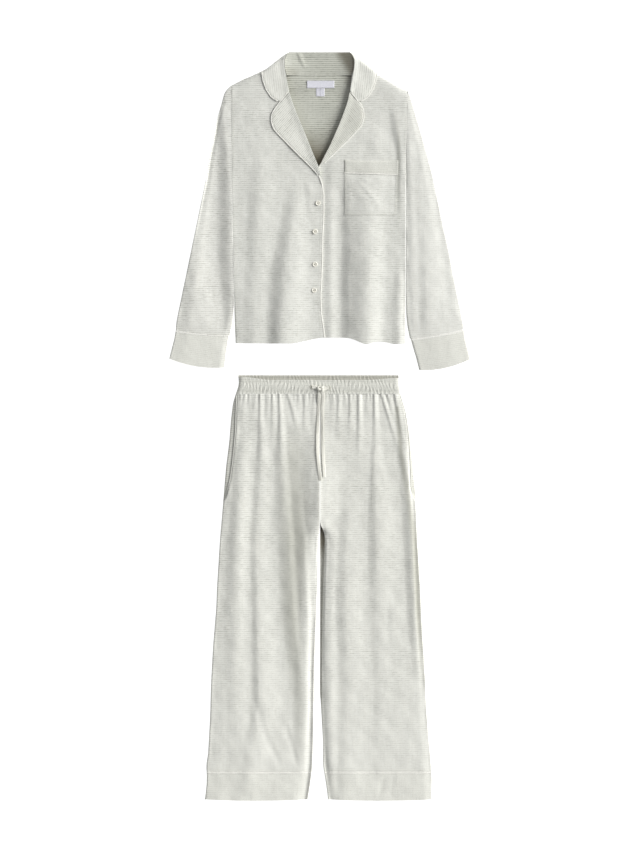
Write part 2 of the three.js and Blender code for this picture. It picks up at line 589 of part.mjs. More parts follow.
function pocketPieces() {
  const { left, right, bottom, seam, top } = POCKET;
  const base = (x, y) => rightFrontTop({ x, y, fromLeft: 99, fromRight: 99 }, 0) + ON_TOP;
  const columns = spread(0, 1, 8);
  const piece = (name, rows, thick) => panel(name, finish(JERSEY), {
    rows, columns, top: ({ x, y }) => base(x, y) + thick, under: ({ x, y }) => base(x, y),
  });
  const half = PIPING.width / 2;
  const seamPath = spread(left, right - 1, 8).map((x) => [x, seam + 2 - 4 * (x - left) / (right - left)]);
  const dip = (x) => -2.5 * Math.sin(Math.PI * (x - left) / (right - left));
  const band = panel('pocket_band', finish(JERSEY), {
    rows: [
      [left, seam + 2 + half + SEAM, right - 0.6, seam - 2 + half + SEAM],
      [left, seam + 17, right - 0.3, seam + 14], [left, top, right, top],
    ],
    columns,
    bend: (x, y, k) => y + (k / 2) * dip(x),
    top: ({ x, y }) => base(x, y) + FOLDED_EDGE,
    under: ({ x, y }) => base(x, y),
  });
  const bag = piece('pocket', [
    [left, bottom, right - 5, bottom], [left, bottom + 30, right - 3.5, bottom + 30],
    [left, bottom + 60, right - 2.4, bottom + 60],
    [left, seam + 2 - half - SEAM, right - 1, seam - 2 - half - SEAM],
  ], WALL);
  return [bag, band, pipe('pocket_piping', seamPath, base)];
}

// A round button with four sewing holes
function button(name, [x, y]) {
  const { radius, thick, hole, holeCentre } = BUTTON;
  const circle = (cx, cy, r, sides) => spread(0, 2 * Math.PI, sides).slice(0, sides)
    .map((angle) => new THREE.Vector2(cx + r * Math.cos(angle), cy + r * Math.sin(angle)));
  const disc = new THREE.Shape(circle(0, 0, radius, 18));
  [[1, 0], [0, 1], [-1, 0], [0, -1]].forEach(([sx, sy]) => {
    disc.holes.push(new THREE.Path(circle(sx * holeCentre, sy * holeCentre, hole, 5)));
  });
  const geometry = new THREE.ExtrudeGeometry(disc, { depth: thick, bevelEnabled: false });
  const mesh = new THREE.Mesh(geometry, finish(BUTTON_CREAM, 0.35));
  mesh.position.set(x, y, FRONT_TOP + ON_TOP);
  mesh.name = name;
  return mesh;
}

function tags() {
  const plate = (name, { left, right, bottom, top }, lift) => panel(name, finish(LABEL_WHITE), {
    rows: [[left, bottom, right, bottom], [left, mix(bottom, top, 0.5), right, mix(bottom, top, 0.5)], [left, top, right, top]],
    columns: spread(0, 1, 3),
    top: ({ x, y }) => BACK_TOP + overFall(x, y) + lift + LABEL.thick,
    under: ({ x, y }) => BACK_TOP + overFall(x, y) + lift,
  });
  return [plate('neck_label', LABEL, ON_TOP), plate('size_tab', SIZE_TAB, ON_TOP)];
}

// Gathers and long folds share the legs' upper face; the cuffs at the leg ends carry on with it
const legTop = (gathers, inner) => (p, inset = 0) => laidTop(p, {
  folds: LEG_FOLDS, gathers, inset, left: inner === 'right' ? 14 : 8, right: inner === 'right' ? 8 : 14,
  leftEdge: inner === 'right' ? EDGE_TOP : legInnerEdge(p.y), rightEdge: inner === 'right' ? legInnerEdge(p.y) : EDGE_TOP,
});
// The fronts stand level along the centre seam and turn down along the inseams
const legInnerEdge = (y) => mix(EDGE_TOP, FRONT_TOP, smooth((y - CROTCH_Y + 30) / 60));

function gatherColumns(gathers, xLeft, xRight) {
  const peaks = gathers.map(([x]) => (x - xLeft) / (xRight - xLeft));
  const valleys = peaks.slice(1).map((s, i) => mix(peaks[i], s, 0.5));
  return [...peaks, ...valleys].sort((a, b) => a - b);
}

function legFront(word, side) {
  const isLeft = side < 0;
  const gathers = isLeft ? GATHERS_LEFT : GATHERS_RIGHT;
  const mouth = isLeft ? LEFT_MOUTH : RIGHT_MOUTH;
  const outline = isLeft ? LEFT_OUTER : RIGHT_OUTER;
  const outer = (y) => read(y < POCKET_MOUTH_Y ? outline : mouth, y);
  const inner = (y) => (isLeft ? read(LEFT_INNER, y) : read(RIGHT_FRONT_INNER, y) + SEAM * smooth((y - CROTCH_Y) / 20));
  const rows = LEG_ROWS.map((y) => (isLeft ? [outer(y), y, inner(y), y] : [inner(y), y, outer(y), y]));
  const [xLeft, , xRight] = rows[rows.length - 1];
  const wide = [0.01, 0.03, 0.06];
  const narrow = [0.012, 0.038];
  const middle = gatherColumns(gathers, xLeft, xRight).filter((s) => s > 0.07 && s < 0.93);
  const before = isLeft ? wide : narrow;
  const after = (isLeft ? narrow : wide).map((s) => 1 - s).reverse();
  const columns = [0, ...before, ...middle, ...after, 1];
  const top = legTop(gathers, isLeft ? 'right' : 'left');
  return panel(`leg_front_${word}`, finish(JERSEY), {
    rows, columns, top: (p) => top(p, 0), under: (p) => Math.min(top(p, 0), top(p, WALL)) - WALL,
  });
}

function legBack(word, side) {
  const isLeft = side < 0;
  const outer = (y) => read(isLeft ? LEFT_OUTER : RIGHT_OUTER, y);
  const inner = (y) => (isLeft ? read(LEFT_INNER, y) : read(RIGHT_INNER, y) + SEAM * smooth((y - CROTCH_Y) / 20));
  return panel(`leg_back_${word}`, finish(JERSEY), {
    rows: LEG_ROWS.map((y) => (isLeft ? [outer(y), y, inner(y), y] : [inner(y), y, outer(y), y])),
    columns: spread(0, 1, 3),
    top: () => BACK_TOP,
    under: () => 0,
  });
}

// The elastic waistband: an upright ripple at every gather of the elastic
const BAND = { wall: 2, frontTop: 11, ripple: 0.8, backTop: 2.6, backRipple: 0.5 };
const ripple = (s) => Math.cos(2 * Math.PI * RIPPLES * s);

function waistbands() {
  const columns = spread(0, 1, 2 * RIPPLES);
  const ends = (y) => [read(LEFT_OUTER, y), y, read(RIGHT_OUTER, y), y];
  const backEdge = BAND.backTop + SEAM;
  const fromSide = (p) => Math.min(p.fromLeft, p.fromRight);
  const rounded = (p) => BAND.frontTop - 0.8 * smooth(Math.abs(p.y - 949) / 16);
  const frontTop = (p, inset) => mix(backEdge + BAND.wall, rounded(p), crown(fromSide(p) - inset, 16));
  const front = panel('waistband_front', finish(JERSEY), {
    rows: [WAIST_SEAM_Y + SEAM, 940, 949, 958, BAND_TOP_Y].map((y) => ends(y)),
    columns,
    underColumns: [0, 0.012, 0.035, 0.08, 0.3, 0.5, 0.7, 0.92, 0.965, 0.988, 1],
    top: (p) => frontTop(p, 0) + BAND.ripple * ripple(p.s) * crown(fromSide(p), 20),
    under: (p) => frontTop(p, BAND.wall) - BAND.wall - BAND.ripple * crown(fromSide(p), 20),
  });
  const back = panel('waistband_back', finish(JERSEY), {
    rows: [WAIST_SEAM_Y + SEAM, 954, BACK_BAND_TOP_Y].map((y) => ends(y)),
    columns,
    underColumns: spread(0, 1, 6),
    top: (p) => BAND.backTop - BAND.backRipple + BAND.backRipple * ripple(p.s),
    under: () => 0,
  });
  return [front, back];
}

// The turned hems of the legs, with piping in their seams
const HEM_COLUMNS = [0, 0.01, 0.03, 0.06, ...spread(0.12, 0.88, 12), 0.94, 0.97, 0.99, 1];
function legHem(word, side) {
  const isLeft = side < 0;
  const at = (y, sag = 0) => (isLeft
    ? [read(LEFT_OUTER, y), y, read(LEFT_INNER, y), y, sag]
    : [read(RIGHT_INNER, y), y, read(RIGHT_OUTER, y), y, sag]);
  const top = legTop([], isLeft ? 'right' : 'left');
  const half = PIPING.width / 2;
  return [
    tube(`hem_cuff_${word}`, finish(JERSEY), {
      rings: [at(CUFF_SEAM_Y - half - SEAM), at(40), at(20, 1), at(0, 3)],
      columns: HEM_COLUMNS, top, wall: FOLDED_EDGE,
    }),
    tube(`hem_piping_${word}`, finish(PIPING_WHITE), {
      rings: [at(CUFF_SEAM_Y + half), at(CUFF_SEAM_Y - half)], columns: HEM_COLUMNS, top, proud: 0.7,
    }),
  ];
}

// A narrow welt along each pocket mouth, on the back panel beside the front's edge
function pocketWelt(word, side) {
  const mouth = side < 0 ? LEFT_MOUTH : RIGHT_MOUTH;
  const path = LEG_ROWS.filter((y) => y >= POCKET_MOUTH_Y).map((y) => [read(mouth, y) + side * (SEAM + 1.4), y - 1]);
  return trim(`pocket_welt_${word}`, finish(JERSEY), {
    path, width: 2.4, height: 2.2, base: () => BACK_TOP + SEAM,
  });
}

// The drawstring: a flat tape from two eyelets to a knot, with two free tails down the front
const STRING_ROUTES = {
  bridle_left: [[-17.3, 948.8], [-12, 948.6], [-6.2, 946.5]],
  bridle_right: [[22.4, 946.6], [18, 946.4], [13.4, 945.2]],
  tail_left: [[-0.6, 935], [-1.8, 905], [-3.6, 870], [-4.8, 835], [-4.4, 800], [-1.8, 765], [2, 733]],
  tail_right: [[8.4, 935], [8.2, 905], [8, 870], [8.4, 840], [10.6, 805], [12.6, 772], [14, 742]],
};
const KNOT = { x: 3.6, y: 944, halfX: 8.6, halfY: 7, height: 5.4 };

function drawstring() {
  const onBand = BAND.frontTop + BAND.ripple + SEAM;
  const onLegs = FRONT_TOP + ON_TOP;
  const base = (x, y) => mix(onLegs, onBand, smooth((y - 905) / 26));
  const tape = ([word, path]) => trim(`drawstring_${word}`, finish(TAPE_WHITE), { path, ...TAPE, base });
  const knot = new THREE.Mesh(new THREE.SphereGeometry(1, 10, 6), finish(TAPE_WHITE));
  knot.geometry.scale(KNOT.halfX, KNOT.halfY, KNOT.height / 2);
  knot.position.set(KNOT.x, KNOT.y, onBand + KNOT.height / 2);
  knot.name = 'drawstring_knot';
  return [...Object.entries(STRING_ROUTES).map(tape), knot];
}

function top() {
  const group = new THREE.Group();
  group.position.set(CENTRE_X, TOP_HEM_Y, 0);
  group.add(shirtBack(), shirtFrontLeft(), shirtFrontRight(), collarStand(), collarFall());
  [['left', -1], ['right', 1]].forEach(([word, side]) => {
    group.add(sleeve(word, side), cuff(word, side), cuffPiping(word, side), collarLeaf(word, side), lapel(word, side));
  });
  group.add(...collarPipings(), frontPiping(), ...pocketPieces(), ...tags());
  BUTTON_PLACES.forEach((place, i) => group.add(button(`button_${i + 1}`, place)));
  return group;
}

function trousers() {
  const group = new THREE.Group();
  group.position.set(CENTRE_X, TROUSERS_HEM_Y, 0);
  [['left', -1], ['right', 1]].forEach(([word, side]) => {
    group.add(legFront(word, side), legBack(word, side), ...legHem(word, side), pocketWelt(word, side));
  });
  group.add(...waistbands(), ...drawstring());
  return group;
}

const set = new THREE.Group();
set.add(top(), trousers());
export default set;
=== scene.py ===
"""A striped jersey pyjama set laid flat: a collared top above a pair of wide trousers.

Sizes are in millimetres while a piece is worked out, and every mesh is written in metres. Both garments lie
on their back panels at height 0, with +Y from the hems to the collar. Left and right are as seen from above.
"""

import math
from types import SimpleNamespace

import bpy
import numpy as np
from mathutils import Matrix, Vector


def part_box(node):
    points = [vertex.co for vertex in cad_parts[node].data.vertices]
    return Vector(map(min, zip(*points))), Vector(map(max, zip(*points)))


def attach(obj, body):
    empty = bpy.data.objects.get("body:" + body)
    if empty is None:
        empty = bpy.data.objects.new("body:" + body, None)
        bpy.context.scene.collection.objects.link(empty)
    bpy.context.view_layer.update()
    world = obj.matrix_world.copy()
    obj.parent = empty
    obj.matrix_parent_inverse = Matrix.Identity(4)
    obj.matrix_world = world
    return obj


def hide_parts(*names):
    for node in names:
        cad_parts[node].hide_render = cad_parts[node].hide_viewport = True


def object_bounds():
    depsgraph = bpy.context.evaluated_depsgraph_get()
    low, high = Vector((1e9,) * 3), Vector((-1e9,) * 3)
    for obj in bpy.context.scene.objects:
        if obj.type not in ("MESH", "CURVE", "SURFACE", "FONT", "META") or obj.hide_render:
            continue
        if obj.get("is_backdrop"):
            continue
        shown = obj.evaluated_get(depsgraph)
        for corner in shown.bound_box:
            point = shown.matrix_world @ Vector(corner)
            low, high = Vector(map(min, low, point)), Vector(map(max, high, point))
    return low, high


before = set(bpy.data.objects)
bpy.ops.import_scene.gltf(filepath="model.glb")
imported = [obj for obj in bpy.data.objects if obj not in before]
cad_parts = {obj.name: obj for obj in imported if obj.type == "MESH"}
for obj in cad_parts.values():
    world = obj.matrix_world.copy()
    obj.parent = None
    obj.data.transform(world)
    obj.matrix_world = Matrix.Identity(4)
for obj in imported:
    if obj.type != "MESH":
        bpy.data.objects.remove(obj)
solid_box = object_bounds()

MM = 0.001

# Cloth, seams and layers, as in the solids
WALL = 1.2
SEAM = 0.3
BACK_TOP = WALL
EDGE_TOP = BACK_TOP + SEAM + WALL
FRONT_TOP = 8.6
OVERLAP_TOP = 6.9
FOLDED_EDGE = 1.8
PIPING_WIDTH = 2.6
PIPING_HEIGHT = 1
ON_TOP = 0.5

# Where each garment's own centre line and hem line lie
TOP_ORIGIN = (-0.75, 195.5)
TROUSERS_ORIGIN = (-0.75, -858.5)

# The top
COLLAR_Y = 666
NECK_SEAM_Y = 612
SHOULDER = SimpleNamespace(left_x=-203, left_y=589, right_x=203.5, right_y=576, neck_x=84, neck_y=645)
UNDERARM_Y = 385
POCKET = SimpleNamespace(left=57.7, right=181, bottom=289, seam=385, top=416.8)
LABEL = SimpleNamespace(left=-29, right=34, bottom=583, top=600, thick=1)
SIZE_TAB = SimpleNamespace(left=-8, right=11.5, bottom=564, top=582.4, thick=1)

# The trousers
CUFF_SEAM_Y = 61
WAIST_SEAM_Y = 932.5
CROTCH_Y = 627
BAND_TOP_Y = 965
BACK_BAND_TOP_Y = 976
POCKET_MOUTH_Y = 691
RIPPLES = 42
FULLNESS = 1.3
TAPE_WIDTH = 7.5
TAPE_THICK = 1

# Spacing of a mesh's points across, along and on a hidden back, and how close they stand in a rounded edge
FINE = 2.6
LONG = 3.4
COARSE = 8
EDGE_STEPS = (0, 0.4, 1, 2, 3.4, 5.2, 7.6, 10.5)


# Each garment's two halves, and what lies across from each
SIDES = ((-1, "left"), (1, "right"))
OTHER = {"left": "right", "right": "left"}


def mix(a, b, t):
    return a + (b - a) * t


def unit(t):
    return np.clip(t, 0, 1)


def smooth(t):
    return unit(t) ** 2 * (3 - 2 * unit(t))


def hump(t):
    """Half a cosine wave: 1 at 0, and 0 from 1 outwards."""
    return 0.5 + 0.5 * np.cos(math.pi * unit(t))


def crown(distance, reach):
    """The quarter ellipse of a rounded edge: 0 at the edge, 1 from reach inwards."""
    if reach <= 0:
        return np.ones_like(distance)
    return np.sqrt(1 - (1 - unit(distance / reach)) ** 2)


def read(table, place):
    """Reads a table of rows (place, value), sorted by place."""
    places, values = zip(*table)
    return np.interp(place, places, values)


def read_soft(table, place, reach=6):
    """Reads a table with its corners rounded off."""
    return sum(read(table, place + step * reach) for step in (-1, -0.5, 0, 0.5, 1)) / 5


def respaced(points, lengths, spacing, rounding, fewest):
    """Spreads points evenly along a line whose steps have these lengths, and rounds off its corners."""
    along = np.concatenate([[0], np.cumsum(lengths)])
    places = np.linspace(0, along[-1], max(fewest, round(along[-1] / spacing)) + 1)
    fine = np.stack([np.interp(places, along, column) for column in points.T], axis=1)
    for _ in range(rounding):
        fine[1:-1] = (fine[:-2] + 2 * fine[1:-1] + fine[2:]) / 4
    return fine


def refine(rows, spacing, rounding=10):
    """Puts rows of outline points close together."""
    rows = np.array(rows, float)
    steps = np.diff(rows, axis=0)
    lengths = (np.hypot(steps[:, 0], steps[:, 1]) + np.hypot(steps[:, 2], steps[:, 3])) / 2
    return respaced(rows, lengths, spacing, rounding, 2)


def refine_path(points, spacing, rounding=8):
    """Puts the points of a line close together."""
    points = np.array(points, float)
    return respaced(points, np.linalg.norm(np.diff(points, axis=0), axis=1), spacing, rounding, 3)


def across(width, spacing, left=True, right=True):
    """Places 0 to 1 across a panel, closer together in its rounded edges."""
    first = EDGE_STEPS if left else (0,)
    last = EDGE_STEPS if right else (0,)
    count = max(2, round((width - first[-1] - last[-1]) / spacing))
    middle = np.linspace(first[-1], width - last[-1], count + 1)
    turned_down = [width - step for step in last[-2::-1]] if right else []
    return np.concatenate([first[:-1], middle, turned_down]) / width


# Soft folds: each is a line of points (x, y, reach to the left, reach to the right, rise). The rise of a
# trough is below 0. The top's folds follow, then the sleeves', the legs' and the gathers under the waist.
TOP_FOLDS = [
    [(-44, 372, 20, 22, 0), (-54, 336, 28, 30, 1.8), (-68, 209, 37, 55, 4.8), (-76, 152, 44, 62, 6.6),
     (-84, 60, 40, 76, 8.4), (-86, -8, 38, 78, 8.8)],
    [(-128, 460, 30, 40, 0), (-141, 336, 30, 50, 2.4), (-144, 209, 28, 40, 2.4), (-148, 152, 28, 50, 2),
     (-150, 60, 28, 50, 1.2), (-150, -8, 28, 40, 1)],
    [(112, 420, 40, 40, 0), (112, 336, 55, 48, 3), (109, 209, 62, 52, 6.2), (109, 152, 62, 50, 7.4),
     (107, 60, 60, 48, 8.6), (107, -8, 58, 46, 8.8)],
    [(50, 400, 30, 18, 0), (47, 336, 32, 20, -2.2), (49, 209, 32, 24, -3.2), (45, 152, 30, 24, -3.2),
     (47, 60, 28, 24, -2.8), (47, -8, 28, 24, -2.8)],
    [(150, 560, 40, 18, 0), (160, 505, 46, 18, -2.2), (174, 428, 46, 16, -2.8), (173, 336, 40, 14, -1.6),
     (170, 260, 34, 14, 0)],
    [(184, 209, 14, 12, 0), (184, 152, 16, 12, 1.2), (184, 60, 20, 12, 2.2), (184, -8, 20, 12, 2.4)],
    [(-30, 385, 12, 14, 0), (-24, 345, 12, 14, 0.9), (-20, 270, 12, 12, 0)],
    [(80, 352, 16, 16, 0), (104, 330, 16, 16, 0.6), (140, 316, 14, 14, 0)],
]
SLEEVE_FOLDS_LEFT = [
    [(-238, 560, 24, 12, 0), (-238, 505, 34, 20, -2.6), (-236, 428, 50, 28, -4.4), (-237, 336, 60, 34, -5.4),
     (-239, 209, 66, 36, -5.6), (-234, 152, 64, 34, -5.2), (-224, 60, 56, 24, -3.2),
     (-217, 10, 40, 14, -1.4)],
    [(-250, 430, 16, 22, 0), (-268, 330, 20, 24, 0.6), (-284, 200, 20, 26, 0.6), (-296, 60, 18, 22, 0.5),
     (-300, -30, 16, 20, 0.2)],
]
SLEEVE_FOLDS_RIGHT = [
    [(206, 500, 8, 14, 0), (208, 440, 10, 20, 1), (214, 300, 14, 26, 0.9), (214, 150, 14, 26, 0.9),
     (216, 60, 12, 20, 0.8), (222, -20, 10, 14, 0.4)],
    [(228, 470, 16, 24, 0), (232, 400, 18, 30, 0.6), (236, 336, 20, 36, 1.1), (247, 209, 24, 44, 1.7),
     (248, 152, 24, 44, 1.9), (250, 60, 24, 44, 1.8), (254, 0, 22, 36, 0.9)],
    [(278, 320, 14, 18, 0), (296, 200, 16, 18, 0.5), (312, 80, 16, 16, 0.7), (322, 0, 14, 14, 0.3)],
]
LEG_FOLDS = [
    [(-170, 860, 14, 20, 0), (-178, 792, 20, 26, 1.8), (-187, 608, 28, 30, 3.2), (-192, 424, 30, 30, 2.2),
     (-192, 217, 28, 34, 1.4), (-176, 112, 50, 36, 1.4), (-170, -5, 44, 36, 1.6)],
    [(-130, 860, 10, 16, 0.6), (-132, 792, 16, 24, 2), (-144, 608, 18, 34, 1.6), (-141, 424, 18, 46, 2.6),
     (-137, 217, 22, 60, 3), (-150, 112, 30, 44, 2.2), (-156, 30, 30, 40, 1.4)],
    [(-88, 880, 8, 14, 0.6), (-88, 792, 20, 18, 2), (-74, 608, 30, 20, 2.4), (-62, 424, 30, 18, 2.4),
     (-52, 330, 26, 16, 1.6), (-44, 260, 20, 14, 0)],
    [(-50, 740, 16, 12, 0), (-46, 660, 20, 14, 0.8), (-38, 608, 24, 14, 1.5), (-28, 424, 26, 12, 2.4),
     (-30, 217, 34, 12, 2.6), (-34, 112, 26, 12, 1.2), (-36, 60, 20, 10, 0.5)],
    [(-146, 250, 14, 16, 0), (-144, 212, 14, 15, -0.8), (-130, 160, 13, 15, -0.8), (-112, 120, 12, 14, -0.8),
     (-98, 96, 10, 12, -0.6), (-92, 70, 8, 10, 0)],
    [(-80, 175, 10, 10, 0), (-74, 155, 10, 11, -0.6), (-54, 88, 10, 11, -0.6), (-48, 66, 8, 10, 0)],
    [(-2, 905, 20, 30, 0), (-2, 850, 36, 56, 1.2), (-3, 792, 44, 66, 3.2), (-2, 725, 46, 66, 5.4),
     (-1, 660, 46, 58, 5.6), (-5, 608, 44, 6, 4.2), (-11, 520, 36, 6, 2.6), (-15, 424, 24, 6, 1.6),
     (-17, 330, 14, 6, 0)],
    [(-1, 800, 10, 8, 0), (-1, 740, 15, 9, 1), (-1, 670, 16, 10, 1.2), (-3, 625, 14, 6, 0.4)],
    [(12, 650, 6, 24, 0), (18, 600, 8, 34, 2.8), (15, 500, 9, 32, 3.4), (14, 424, 10, 30, 3.4),
     (15, 217, 10, 30, 2.8), (20, 112, 10, 26, 2.4), (24, 60, 10, 20, 1.8), (28, 10, 10, 16, 1.2)],
    [(66, 760, 20, 30, 0), (66, 608, 26, 44, 1.8), (63, 500, 30, 48, 3), (63, 424, 30, 48, 3.4),
     (68, 300, 28, 54, 2.2), (70, 217, 26, 60, 1.4), (63, 112, 26, 54, 1.5), (64, -5, 24, 50, 0.8)],
    [(127, 800, 12, 22, 1.4), (131, 700, 20, 44, 2.4), (134, 608, 26, 54, 3.2), (137, 424, 24, 34, 1.4),
     (140, 300, 20, 30, 0.8), (142, 217, 20, 30, 0.4), (142, 60, 20, 30, 0.3)],
    [(196, 860, 20, 8, 0), (199, 792, 24, 8, 2.4), (207, 700, 24, 8, 3), (213, 608, 24, 6, 3.6),
     (220, 424, 20, 6, 3), (230, 260, 16, 6, 0)],
    [(169, 460, 14, 24, 0), (170, 424, 16, 26, 1), (172, 330, 14, 20, 0)],
    [(150, 66, 8, 10, 0), (146, 44, 8, 12, -0.5), (137, 10, 8, 12, -0.5)],
    [(172, 70, 7, 8, 0), (168, 44, 7, 9, -0.4), (164, 12, 7, 9, -0.4)],
]

# Painted shade where the cloth takes less light in a hollow or where it turns away along an edge: lines as
# for the folds, with a strength from 0 to 1
TOP_SHADE_LINES = [
    [(176, 520, 6, 9, 0), (181, 470, 5, 8, 0.3), (181, 400, 5, 8, 0.4), (182, 330, 5, 8, 0.2),
     (184, 260, 5, 8, 0)],
]
LEG_SHADE_LINES = [
    [(-60, 880, 40, 40, 0), (-60, 793, 50, 46, 0.28), (-54, 608, 56, 52, 0.5), (-62, 424, 40, 36, 0.42),
     (-47, 217, 26, 24, 0.25), (-44, 112, 24, 20, 0.1), (-40, 40, 20, 20, 0)],
    [(178, 900, 9, 9, 0.5), (188, 793, 10, 10, 0.5), (204, 700, 12, 10, 0.4), (218, 608, 14, 12, 0.65),
     (227, 424, 14, 12, 0.65), (236, 300, 12, 10, 0.2), (246, 217, 12, 10, 0)],
]

# Gathers: x at the waist seam, x and y where each ends, rise. Each is steep to its left.
GATHERS = [
    (-181, -186, 850, 1.2), (-172, -179, 850, 1.4), (-160, -162, 896, 1), (-149, -150, 870, 1.4),
    (-136, -137, 769, 2.2), (-119, -119, 861, 1.2), (-108, -106, 827, 2), (-92, -88, 776, 2.2),
    (-72, -40, 815, 1.8), (-62, -50, 870, 1), (-50, -46, 884, 1.2), (-33, -34, 827, 1.8),
    (-22, -22, 880, 0.9), (-13, -13, 860, 1), (30, 29, 873, 1.2), (45, 43, 827, 2), (57, 57, 884, 1.1),
    (71, 71, 827, 2),
    (80, 80, 890, 0.9), (91, 91, 776, 2.8), (109, 111, 873, 1.2), (118, 118, 894, 0.9), (127, 129, 792, 2.8),
    (143, 192, 774, 2.2), (157, 179, 850, 1.6), (173, 199, 804, 2.4), (179, 190, 880, 1.2),
]
GATHER_LEFT = 5.8
GATHER_RIGHT = 11


def fold_at(line, x, y):
    """Height of one fold at each point: a rounded ridge or trough about its line, as far as the reach of the
    side that the point is on."""
    nearest = np.full(np.shape(x), np.inf)
    height = np.zeros(np.shape(x))
    for (x0, y0, l0, r0, rise0), (x1, y1, l1, r1, rise1) in zip(line, line[1:]):
        dx, dy = x1 - x0, y1 - y0
        u = unit(((x - x0) * dx + (y - y0) * dy) / (dx * dx + dy * dy))
        offset_x = x - mix(x0, x1, u)
        offset_y = y - mix(y0, y1, u)
        distance = np.hypot(offset_x, offset_y)
        turn = offset_y * dx - offset_x * dy
        to_right = turn < 0 if dy > 0 else turn > 0
        reach = np.where(to_right, mix(r0, r1, u), mix(l0, l1, u))
        bump = mix(rise0, rise1, u) * hump(distance / reach)
        height = np.where(distance < nearest, bump, height)
        nearest = np.minimum(nearest, distance)
    return height


def folds_at(folds, x, y):
    return sum((fold_at(line, x, y) for line in folds), np.zeros(np.shape(x)))


def gathers_at(x, y):
    """Height of the gathers: narrow at the waist seam, wider and lower as they run out."""
    total = np.zeros(np.shape(x))
    for seam_x, end_x, end_y, rise in GATHERS:
        down = unit((WAIST_SEAM_Y - y) / (WAIST_SEAM_Y - end_y))
        offset = x - mix(seam_x, end_x, down)
        reach = np.where(offset > 0, GATHER_RIGHT, GATHER_LEFT) * mix(0.75, 1.7, down)
        total += 0.85 * rise * (1 - down) ** 0.8 * hump(np.abs(offset) / reach)
    small = 0.5 + 0.5 * np.sin(2 * math.pi * x / 8.3 + 2 * np.sin(x / 19) + 0.6 * np.sin(y / 7 + x / 5))
    return total + 0.7 * small * smooth((y - WAIST_SEAM_Y + 24) / 22)


# The slow waves of cloth that was laid down by hand: length in mm, direction, height
DRIFT_WAVES = [(163, 0.3, 0.34), (97, 1.9, 0.26), (61, 1.1, 0.17), (41, 2.7, 0.12), (29, 0.7, 0.08)]


def drift(x, y):
    total = np.zeros(np.shape(x))
    for k, (length, turn, height) in enumerate(DRIFT_WAVES):
        across_wave = x * math.cos(turn) + y * math.sin(turn) + 17 * k
        bend = 0.35 * length * np.sin((y * math.cos(turn) - x * math.sin(turn)) / (1.3 * length) + k)
        total += height * np.sin(2 * math.pi * (across_wave + bend) / length)
    return total


def rolled(distance, reach):
    """A folded edge: most of its height close to the edge, the rest over a long slope."""
    if reach <= 0:
        return np.ones_like(distance)
    tight = (1 - (1 - unit(distance / (0.35 * reach))) ** 3) ** (1 / 3)
    return 0.7 * tight + 0.3 * smooth(distance / (3 * reach))


def laid_top(p, left=14, right=14, left_edge=EDGE_TOP, right_edge=EDGE_TOP, relief=None, inset=0):
    """The upper face of a front that lies over a back: rounded down to its side seams, with its relief."""
    left_rise = mix(left_edge, FRONT_TOP, rolled(p.from_left - inset, left))
    right_rise = mix(right_edge, FRONT_TOP, rolled(p.from_right - inset, right))
    clear = np.ones_like(p.x)
    for distance, reach in ((p.from_left, left), (p.from_right, right)):
        if reach > 0:
            clear = np.minimum(clear, smooth((distance - inset) / (0.8 * reach)))
    return np.minimum(left_rise, right_rise) + clear * (relief(p.x, p.y) if relief else 0)


# Meshes

SHARP_ANGLE = 58
THINNEST = 0.4


def show(name, data):
    """Puts a mesh, a light or the like into the scene as an object."""
    shown = bpy.data.objects.new(name, data)
    bpy.context.scene.collection.objects.link(shown)
    return shown


def quads(*corners):
    """Faces from four grids of point numbers, one for each corner."""
    return np.stack(corners, -1).reshape(-1, 4)


def make_mesh(name, points, faces, uv, materials, origin, picks=None):
    """Writes points in millimetres about a garment's origin as a mesh in metres, faces pointing out."""
    points = np.array(points, float)
    faces = np.array(faces, int)
    corners = points[faces]
    volume = np.sum(np.einsum("ij,ij->i", corners[:, 0], np.cross(corners[:, 1], corners[:, 2])))
    if faces.shape[1] == 4:
        volume += np.sum(np.einsum("ij,ij->i", corners[:, 0], np.cross(corners[:, 2], corners[:, 3])))
    if volume < 0:
        faces = faces[:, ::-1]
    placed = (points + np.array([origin[0], origin[1], 0])) * MM
    mesh = bpy.data.meshes.new(name)
    mesh.from_pydata(placed.tolist(), [], faces.tolist())
    layer = mesh.uv_layers.new(name="cloth")
    loops = np.zeros(len(mesh.loops), int)
    mesh.loops.foreach_get("vertex_index", loops)
    layer.data.foreach_set("uv", (np.array(uv, float) * MM)[loops].ravel())
    mesh.polygons.foreach_set("use_smooth", np.ones(len(mesh.polygons), bool))
    for material in materials:
        mesh.materials.append(material)
    if picks is not None:
        mesh.polygons.foreach_set("material_index", np.array(picks, np.int32))
    mesh.set_sharp_from_angle(angle=math.radians(SHARP_ANGLE))
    mesh.update()
    return show(name, mesh)


def turned(x, y, grain):
    """Cloth coordinates of plan points: the stripes run along the first, turned by grain degrees."""
    c, s = math.cos(math.radians(grain)), math.sin(math.radians(grain))
    return np.stack([x * c + y * s, y * c - x * s], axis=-1)


